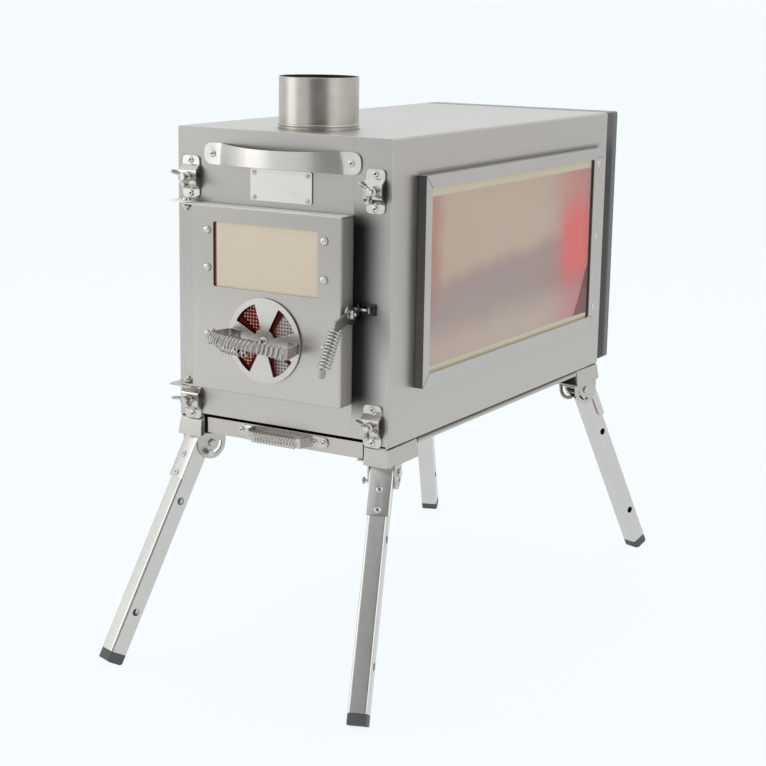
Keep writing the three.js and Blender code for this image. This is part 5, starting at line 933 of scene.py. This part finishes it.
# %% Rivet heads
head_line = [(0, 0.9), (0.95, 0.9), (1.15, 1.45), (1.5, 1.68), (2.1, 1.64), (2.8, 1.32), (3.3, 0.85),
             (3.55, 0.35), (3.6, -0.3), (0, -0.3)]
rivet_head = spun(head_line, steps=24)
smooth(rivet_head, 50, weighted=False)
DIMPLE = 1.0
dimple = [math.hypot(*face.center[:2]) < DIMPLE * MM and face.center.z > 0
          for face in rivet_head.data.polygons]

def rivet_at(name, body, matrix, size=1.0):
    piece = place(copy_of(rivet_head), matrix @ Matrix.Scale(size, 4))
    finish(piece, name, body, "bright_steel", bolt_steel)
    second_finish(piece, dimple_shade, dimple)


# %% Rivets in their places
STRIP_RIVET_Y = 223
PANEL_RIVET_Y = -249.3
CLAMP_PLACES = {"upper_left": (-108, 499), "upper_right": (108, 499),
                "lower_left": (-108, 271), "lower_right": (108, 271)}

for hand, sign in (("right", 1), ("left", -1)):
    for row, z in enumerate((322, 406, 491)):
        rivet_at(f"strip_rivet_{hand}_{row}", "stove", aimed((sign * 126.8, STRIP_RIVET_Y, z), (sign, 0, 0)))
for row, x in enumerate((-49.5, -38.9, 38.9, 49.5)):
    rivet_at(f"tray_rivet_{row}", "tray", aimed((x, -244.8, 244.8), OUT_FRONT), 0.92)
for row, x in enumerate((-81, 81)):
    rivet_at(f"handle_rivet_{row}", "stove", aimed((x, PANEL_RIVET_Y, 523.5), OUT_FRONT))
for row, (x, z) in enumerate((x, z) for x in (-31.3, 31.3) for z in (484, 508)):
    rivet_at(f"plate_rivet_{row}", "stove", aimed((x, -248.8, z), OUT_FRONT), 0.72)
for clamp, (x, z) in CLAMP_PLACES.items():
    for row, rise in enumerate((-16.6, 16.6)):
        rivet_at(f"clamp_rivet_{clamp}_{row}", "stove", aimed((x, PANEL_RIVET_Y, z + rise), OUT_FRONT))
for corner in CORNERS:
    for row, drop in enumerate((21.6, 41.8)):
        matrix = leg_frame(corner) @ aimed((0, -18.105, -drop), OUT_FRONT)
        rivet_at(f"yoke_rivet_{corner}_{row}", f"leg_{corner}", matrix)
bpy.data.objects.remove(rivet_head)

# %% [markdown]
# ## Bolts and pins
# Hinge, latch and leg bolts are turned steel with domed heads and six-sided nuts. Their outlines are spun
# about their axes, and a nut is a six-sided prism with softened edges.

# %% Turned bolts


def hex_nut(radius, low, high):
    """A six-sided nut round Z, with softened edges."""
    nut = fresh(bpy.ops.mesh.primitive_cylinder_add, vertices=6, radius=radius * MM,
                depth=(high - low) * MM, location=(0, 0, (low + high) / 2 * MM))
    return soften(nut, 0.35, angle=30)


def turned_piece(name, body, outline, matrix, *solids, nut=None, angle=40, steps=32, dark=None):
    """A spun pin or bolt, with its nut if it has one. dark picks the faces of a middle that is painted dark
    as shade.
    """
    piece = spun(outline, steps)
    if nut:
        piece = join([piece, hex_nut(*nut)])
    smooth(piece, angle, weighted=False)
    marks = [bool(dark and dark(math.hypot(*face.center[:2]), face.center.z)) for face in piece.data.polygons]
    place(piece, matrix)
    finish(piece, name, body, "bright_steel", bolt_steel, *solids)
    if dark:
        second_finish(piece, dimple_shade, marks)


# %% Bolts of the door, the latch and the legs
HINGE_X, HINGE_Y = -106, -259.5
LATCH_PLACE = (87.5, -259.8, 381.1)
hinge_line = [(0, -3.2), (1.2, -3.2), (1.5, -2.9), (3.2, -2.75), (4.1, -2.1), (4.5, -1.2), (4.5, 0), (2.5, 0),
              (2.5, 9.8), (2.2, 10.2), (0, 10.2)]
for name, matrix in (("upper", shift(HINGE_X, HINGE_Y, 476.6) @ degrees(180, "X")),
                     ("lower", shift(HINGE_X, HINGE_Y, 286.4))):
    turned_piece(f"hinge_bolt_{name}_turned", "stove", hinge_line, matrix, f"hinge_bolt_{name}",
                 nut=(4.6, 3.9, 7.4), angle=35)

latch_line = [(0, -11), (2.1, -11), (2.5, -10.6), (2.5, -4.2), (4.5, -4.2), (4.5, -0.3), (2.5, -0.3),
              (2.5, 2.8), (5, 2.8), (5.1, 4.2), (4.6, 5.2), (3.4, 5.75), (2.2, 5.8), (1.7, 5.4),
              (1.4, 4.4), (0, 4.4)]
turned_piece("latch_bolt_turned", "door", latch_line, aimed(LATCH_PLACE, ALONG_X), "latch_bolt",
             nut=(4.6, -10, -6.1), angle=35)

pivot_line = [(0, -16.3), (1.2, -16.3), (1.5, -17), (2.6, -17), (3.5, -16.6), (4, -15.8), (4, -14.3),
              (3, -14.3), (3, 14.3), (4, 14.3), (4, 15.8), (3.5, 16.6), (2.6, 17), (1.5, 17), (1.2, 16.3),
              (0, 16.3)]
guide_line = [(0, 12), (1.8, 12), (1.8, 18.3), (3.4, 18.5), (3.75, 19.2), (3.7, 20.3), (3.1, 20.9),
              (1.5, 21.1), (0, 21.1)]
for corner in CORNERS:
    side = CORNER_PLACES[corner][1]
    turned_piece(f"leg_pivot_{corner}_turned", "stove", pivot_line,
                 pivot_frame(corner) @ aimed((0, 0, 0), ALONG_X), f"leg_pivot_{corner}", angle=35)
    turned_piece(f"guide_pin_{corner}", f"leg_{corner}", guide_line,
                 leg_frame(corner) @ aimed((0, -0.732, -10.474), (-side, 0, 0)), angle=35)

# %% Vent axle, pane screws and keeper pin
vent_line = [(0, 3.6), (3.4, 3.6), (3.4, 2.8), (2.5, 2.8), (2.5, -2.8), (4.4, -2.8), (4.2, -3.9),
             (3.3, -4.8), (2.1, -5.1), (1.3, -4.9), (1.1, -4.3), (0, -4.3)]
turned_piece("vent_rivet_turned", "door", vent_line, aimed(VENT_PLACE, -OUT_FRONT), "vent_rivet",
             dark=lambda radius, z: radius < 1.2 * MM and z < -4 * MM)
# four of the six screws that hold the pane's retainer; the lower two keep the solid's heads
screw_line = [(0, 1.1), (1.25, 1.1), (1.4, 1.95), (2.4, 2.05), (3.4, 1.6), (4.05, 0.7), (4.1, 0), (0, 0)]
SCREW_PLACES = {1: (-74.4, 412.7), 2: (-74.4, 450.2), 4: (63.4, 412.7), 5: (63.4, 450.2)}
for row, (x, z) in SCREW_PLACES.items():
    turned_piece(f"retainer_screw_{row}", "door", screw_line, aimed((x, -268.8, z), OUT_FRONT),
                 dark=lambda radius, z: radius < 1.25 * MM)
keeper_line = [(0, 17.2), (1.7, 17.2), (1.7, 2.2), (3.5, 2), (3.7, 1), (3.4, 0.2), (2.3, -0.2), (0, -0.3)]
turned_piece("keeper_pin_turned", "stove", keeper_line, aimed((106.3, -253.5, 385.5), -ALONG_X))
print("pane screws:", len(SCREW_PLACES))

# %% [markdown]
# ## Wing screws
# The four clamps are closed by wing screws. A cast wing has a round boss and two flat ears that flare
# outwards. The ears are drawn as a plate with rounded corners, thickened and softened, and joined to the
# spun boss.

# %% Plates from an outline


def plate(outline, thickness, corner=0, edge=0.0):
    """A flat plate in XY, centred on z = 0, from an outline in millimetres."""
    piece = fresh(bpy.ops.mesh.primitive_plane_add, size=1 * MM)
    edit(piece)
    bpy.ops.mesh.merge(type="CENTER")
    bpy.ops.transform.translate(value=(outline[0][0] * MM, outline[0][1] * MM, -thickness / 2 * MM))
    for (x0, y0), (x1, y1) in zip(outline, outline[1:]):
        bpy.ops.mesh.extrude_region_move(TRANSFORM_OT_translate={
            "value": ((x1 - x0) * MM, (y1 - y0) * MM, 0)})
    bpy.ops.mesh.select_all(action="SELECT")
    bpy.ops.mesh.edge_face_add()
    if corner:
        bpy.ops.mesh.bevel(affect="VERTICES", offset=corner * MM, segments=4)
        bpy.ops.mesh.select_all(action="SELECT")
    bpy.ops.mesh.extrude_region_move(TRANSFORM_OT_translate={"value": (0, 0, thickness * MM)})
    bpy.ops.mesh.select_all(action="SELECT")
    bpy.ops.mesh.normals_make_consistent(inside=False)
    done()
    return soften(piece, edge) if edge else piece


# %% Wing screws
# the boss along Z (radius, height), towards the front
wing_line = [(0, -5.3), (2.5, -5.3), (2.5, 8.4), (5, 8.4), (5, 10.8), (4.5, 11.4), (3.9, 11.9),
             (4.3, 14), (4.2, 18.4), (3.4, 19.3), (2.3, 19.3), (2, 18.5), (0, 18.5)]
ear_line = [(1.5, 13), (5.6, 12.9), (10.4, 16.5), (11.5, 20.5), (11.3, 25.2), (8.6, 25.3), (6.6, 21.5),
            (4.2, 18.2), (1.5, 17.8)]
boss = spun(wing_line)
right_ear = place(plate(ear_line, 2.4, corner=0.9, edge=0.7), degrees(90, "X"))
left_ear = place(copy_of(right_ear), degrees(180, "Z"))
wing_screw = join([boss, right_ear, left_ear])
smooth(wing_screw, 45, weighted=False)
WING_TURNS = {"upper_left": -50, "upper_right": -22, "lower_left": -72, "lower_right": -32}
for clamp, (x, z) in CLAMP_PLACES.items():
    # in the screw's own frame the ears spread along Z and the boss points to the front
    lie = shift(x, -247.5, z) @ degrees(WING_TURNS[clamp], "Y") @ degrees(90, "X") @ degrees(90, "Z")
    finish(place(copy_of(wing_screw), lie), f"wing_screw_{clamp}_cast", f"screw_{clamp}", "bright_steel",
           bolt_steel, f"wing_screw_{clamp}")
bpy.data.objects.remove(wing_screw)
print("wing screws:", len(CLAMPS))

# %% [markdown]
# ## Leg tubes
# Each leg is square tube of 20 mm with rounded corners and a thin wall, and two round holes across it for
# a locking pin. The round corners catch a line of light along the leg. A cube loses its ends, its long edges
# are bevelled, a wall is added inwards, and the holes are cut by two pins.

# %% Leg tubes
TUBE_SIDE, TUBE_WALL, TUBE_CORNER = 20, 1.2, 3
TUBE_TOP, TUBE_BOTTOM = -15.4, -236.9
TUBE_Y = -6.305
TUBE_HOLES = (68.4, 191.4)
TUBE_HOLE = 8

tube = fresh(bpy.ops.mesh.primitive_cube_add, size=1,
             location=(0, TUBE_Y * MM, (TUBE_TOP + TUBE_BOTTOM) / 2 * MM),
             scale=(TUBE_SIDE * MM, TUBE_SIDE * MM, (TUBE_TOP - TUBE_BOTTOM) * MM))
choose(tube, "EDGE", lambda ends: abs(ends[0].z - ends[1].z) > 1 * MM)
bpy.ops.mesh.bevel(offset=TUBE_CORNER * MM, segments=6, affect="EDGES")
done()
choose(tube, "FACE", lambda corners: max(c.z for c in corners) - min(c.z for c in corners) < 1 * MM)
bpy.ops.mesh.delete(type="ONLY_FACE")
done()
thicken(tube, TUBE_WALL)
print("tube faces:", len(tube.data.polygons))

# %% Pin holes, and one tube for each leg
for drop in TUBE_HOLES:
    cut_with(tube, fresh(bpy.ops.mesh.primitive_cylinder_add, vertices=32, radius=TUBE_HOLE / 2 * MM,
                         depth=2 * TUBE_SIDE * MM, location=(0, TUBE_Y * MM, -drop * MM),
                         rotation=(0, math.pi / 2, 0)))
smooth(tube, 35)
for corner in CORNERS:
    leg = place(copy_of(tube), leg_frame(corner))
    finish(leg, f"leg_tube_{corner}_drawn", f"leg_{corner}", "leg_steel", leg_steel, f"leg_tube_{corner}")
bpy.data.objects.remove(tube)
print("leg tubes:", len(CORNERS))

# %% [markdown]
# ## The air vent
# A round disc turns over four sectors cut in the door, with a fine perforated sheet behind them that stops
# sparks. The disc's edge is round and thin. The sheet's holes are 2 mm wide and 3.4 mm apart: one small cell
# with a round hole is repeated in both directions and thickened.

# %% Vent disc
DISC_RADIUS, DISC_REAR, DISC_FRONT = 42.5, -0.9, -2.5
SECTOR_INNER, SECTOR_OUTER, SECTOR_SPAN = 12, 37, 45
VENT_TURN = 5


def at_vent(turn=0):
    """From a part drawn along Z, seen from the front, to the vent's place on the door."""
    return shift(*VENT_PLACE) @ degrees(turn, "Y") @ degrees(90, "X")


disc = fresh(bpy.ops.mesh.primitive_cylinder_add, vertices=128, radius=DISC_RADIUS * MM,
             depth=(DISC_REAR - DISC_FRONT) * MM, location=(0, 0, -(DISC_REAR + DISC_FRONT) / 2 * MM))
half = SECTOR_SPAN / 2
arcs = [(SECTOR_OUTER, -half + SECTOR_SPAN * i / 18) for i in range(19)]
arcs += [(SECTOR_INNER, half - SECTOR_SPAN * i / 8) for i in range(9)]
sector = [(radius * math.cos(math.radians(a)), radius * math.sin(math.radians(a))) for radius, a in arcs]
for quarter in range(4):
    cut_with(disc, place(plate(sector, 12), degrees(45 + 90 * quarter, "Z")))
soften(disc, 0.25)
smooth(disc, 35)
place(disc, at_vent(VENT_TURN))
finish(disc, "vent_disc_round", "vent", "sheet_steel", disc_steel, "vent_disc")
print("vent disc:", len(disc.data.polygons), "faces")

# %% Spark screen
SCREEN_PITCH, SCREEN_HOLE, SCREEN_HALF = 3.4, 2.1, 40.8
SCREEN_FRONT, SCREEN_SHEET = -267, 0.8
SCREEN_COUNT = int(2 * SCREEN_HALF / SCREEN_PITCH)

screen = fresh(bpy.ops.mesh.primitive_plane_add, size=SCREEN_PITCH * MM)
edit(screen)
bpy.ops.mesh.delete(type="ONLY_FACE")
bpy.ops.mesh.select_all(action="SELECT")
bpy.ops.mesh.subdivide(number_cuts=1)
bpy.ops.mesh.primitive_circle_add(vertices=8, radius=SCREEN_HOLE / 2 * MM, fill_type="NOTHING")
bpy.ops.mesh.select_all(action="SELECT")
bpy.ops.mesh.bridge_edge_loops()
bpy.ops.mesh.select_all(action="SELECT")
bpy.ops.mesh.normals_make_consistent(inside=False)
done()
for axis in range(2):
    rows = screen.modifiers.new("repeat", "ARRAY")
    rows.count = SCREEN_COUNT
    rows.use_relative_offset = False
    rows.use_constant_offset = True
    rows.constant_offset_displace = [SCREEN_PITCH * MM if axis == i else 0 for i in range(3)]
    rows.use_merge_vertices = True
    rows.merge_threshold = 0.01 * MM
apply_all(screen)
if sum(face.normal.z for face in screen.data.polygons) < 0:
    edit(screen)
    bpy.ops.mesh.flip_normals()
    done()
thicken(screen, SCREEN_SHEET)
corner_cell = -(SCREEN_COUNT - 1) / 2 * SCREEN_PITCH
place(screen, shift(VENT_PLACE[0], SCREEN_FRONT, VENT_PLACE[2] - 0.5) @ degrees(90, "X")
      @ shift(corner_cell, corner_cell, 0))
finish(screen, "spark_screen_perforated", "door", "grate_steel", screen_steel, "spark_screen")
print("screen holes:", SCREEN_COUNT ** 2)

# %% [markdown]
# ## Springs
# Three grips are wrapped in coil springs, which keep them cool to the touch. The wire is 1.3 to 1.9 mm thick.
# Each spring is a wire curve with its real turns. The one on the vent was wound by hand: close at its left
# end, loose and hanging in the middle, and wide over the strap at its right end.

# %% Wire curves


def wire(points, thickness):
    """A round wire through points in millimetres, as a mesh."""
    bpy.ops.object.select_all(action="DESELECT")
    bpy.ops.curve.primitive_nurbs_path_add()
    piece = bpy.context.object
    route = piece.data
    route.splines.clear()
    line = route.splines.new("POLY")
    line.points.add(len(points) - 1)
    for point, spot in zip(line.points, points):
        point.co = (*(Vector(spot) * MM), 1)
    route.dimensions = "3D"
    route.bevel_depth = thickness / 2 * MM
    route.bevel_resolution = 2
    route.use_fill_caps = True
    bpy.ops.object.convert(target="MESH")
    return bpy.context.object


def wound(name, body, points, thickness, matrix):
    """A spring that replaces the solid of its name."""
    spring = wire(points, thickness)
    smooth(spring, 60, weighted=False)
    place(spring, matrix)
    return finish(spring, f"{name}_wound", body, "bright_steel", wire_steel, name)


def smoothstep(low, high, value):
    t = min(1, max(0, (value - low) / (high - low)))
    return t * t * (3 - 2 * t)


# %% Spring of the vent
VENT_BAR_Y = -30.25
COIL_LOW, COIL_HIGH, COIL_TURNS, STEPS = -46, 41.5, 21, 26
chance = random.Random(8)
wobble = [chance.uniform(-1, 1) for _ in range(COIL_TURNS + 2)]
points = []
for i in range(COIL_TURNS * STEPS + 1):
    turn_number = i / STEPS
    # the pitch grows along the spring: close turns at the left, wide ones over the strap
    share = turn_number / COIL_TURNS
    x = COIL_LOW + (COIL_HIGH - COIL_LOW) * (0.62 * share + 0.38 * share ** 2.2)
    k = int(turn_number)
    uneven = wobble[k] + (wobble[k + 1] - wobble[k]) * (turn_number - k)
    middle = smoothstep(0.08, 0.35, share) * (1 - smoothstep(0.62, 0.76, share))
    radius_z = 6.0 + 2.8 * middle + 0.9 * uneven * middle
    radius_y = 5.4 + 3.0 * middle
    sag = 1.5 * (1 - smoothstep(0, 0.1, share)) + 3.0 * middle
    if share > 0.72:
        radius_y = 2.6 + 2.8 * (1 - smoothstep(0.72, 0.8, share))
    angle = 2 * math.pi * turn_number
    points.append((x + 0.9 * uneven * middle, VENT_BAR_Y - radius_y * math.cos(angle) - 1.0 * middle,
                   radius_z * math.sin(angle) - sag))
spring = wound("vent_spring", "vent", points, 1.3, shift(*VENT_PLACE) @ degrees(VENT_TURN, "Y"))
knob_line = [(0, -2), (1.6, -2), (1.6, 0), (2.9, 0), (2.9, 1.5), (2.2, 2.3), (0, 2.5)]
turned_piece("vent_strap_screw", "vent", knob_line,
             shift(*VENT_PLACE) @ degrees(VENT_TURN, "Y") @ shift(-44.5, -28.5, 6.3), steps=24)
print("vent spring:", len(spring.data.polygons), "faces")

# %% Springs of the latch and the tray
GRIP_ANGLE = math.radians(239.6)


def coil(low, high, turns, radius, steps=24):
    """Points of an even helix along X."""
    angles = [2 * math.pi * i / steps for i in range(turns * steps + 1)]
    return [(low + (high - low) * (i / (turns * steps)), -radius * math.cos(angle), radius * math.sin(angle))
            for i, angle in enumerate(angles)]


along = Vector((0, math.cos(GRIP_ANGLE), math.sin(GRIP_ANGLE)))
outer = Vector((-1, 0, 0))
grip = Matrix((along, outer, along.cross(outer))).transposed().to_4x4()
wound("latch_spring", "latch", coil(3, 43, 12, 5.4), 1.9,
      shift(*LATCH_PLACE) @ shift(1.25, -26.2, -8.8) @ grip)
wound("tray_spring", "tray", coil(-26, 26, 15, 5.6), 1.4, shift(0, -261.25, 244.8))

# %% [markdown]
# ## The ash tray
# The tray is a shallow folded box that slides under the firebox. Its front wall stands a little lower than
# the channel it runs in, so a dark slot shows above it. A cube without its top gets a wall and soft edges.

# %% Ash tray
TRAY_HALF, TRAY_FRONT, TRAY_REAR, TRAY_LOW, TRAY_HIGH = 94, -243, 137, 234.8, 254.8
TRAY_FRONT_DROP = 3.4

tray = fresh(bpy.ops.mesh.primitive_cube_add, size=1,
             location=(0, (TRAY_FRONT + TRAY_REAR) / 2 * MM, (TRAY_LOW + TRAY_HIGH) / 2 * MM),
             scale=(2 * TRAY_HALF * MM, (TRAY_REAR - TRAY_FRONT) * MM, (TRAY_HIGH - TRAY_LOW) * MM))
choose(tray, "FACE", lambda corners: all(c.z > (TRAY_HIGH - 1) * MM for c in corners))
bpy.ops.mesh.delete(type="ONLY_FACE")
done()
choose(tray, "EDGE", lambda ends: all(
    c.z > (TRAY_HIGH - 1) * MM and c.y < (TRAY_FRONT + 1) * MM for c in ends))
bpy.ops.transform.translate(value=(0, 0, -TRAY_FRONT_DROP * MM))
done()
thicken(tray, 1.2)
soften(tray, 0.4)
smooth(tray, 35)
finish(tray, "ash_tray_folded", "tray", "sheet_steel", tray_steel, "ash_tray")
print("tray:", len(tray.data.polygons), "faces")
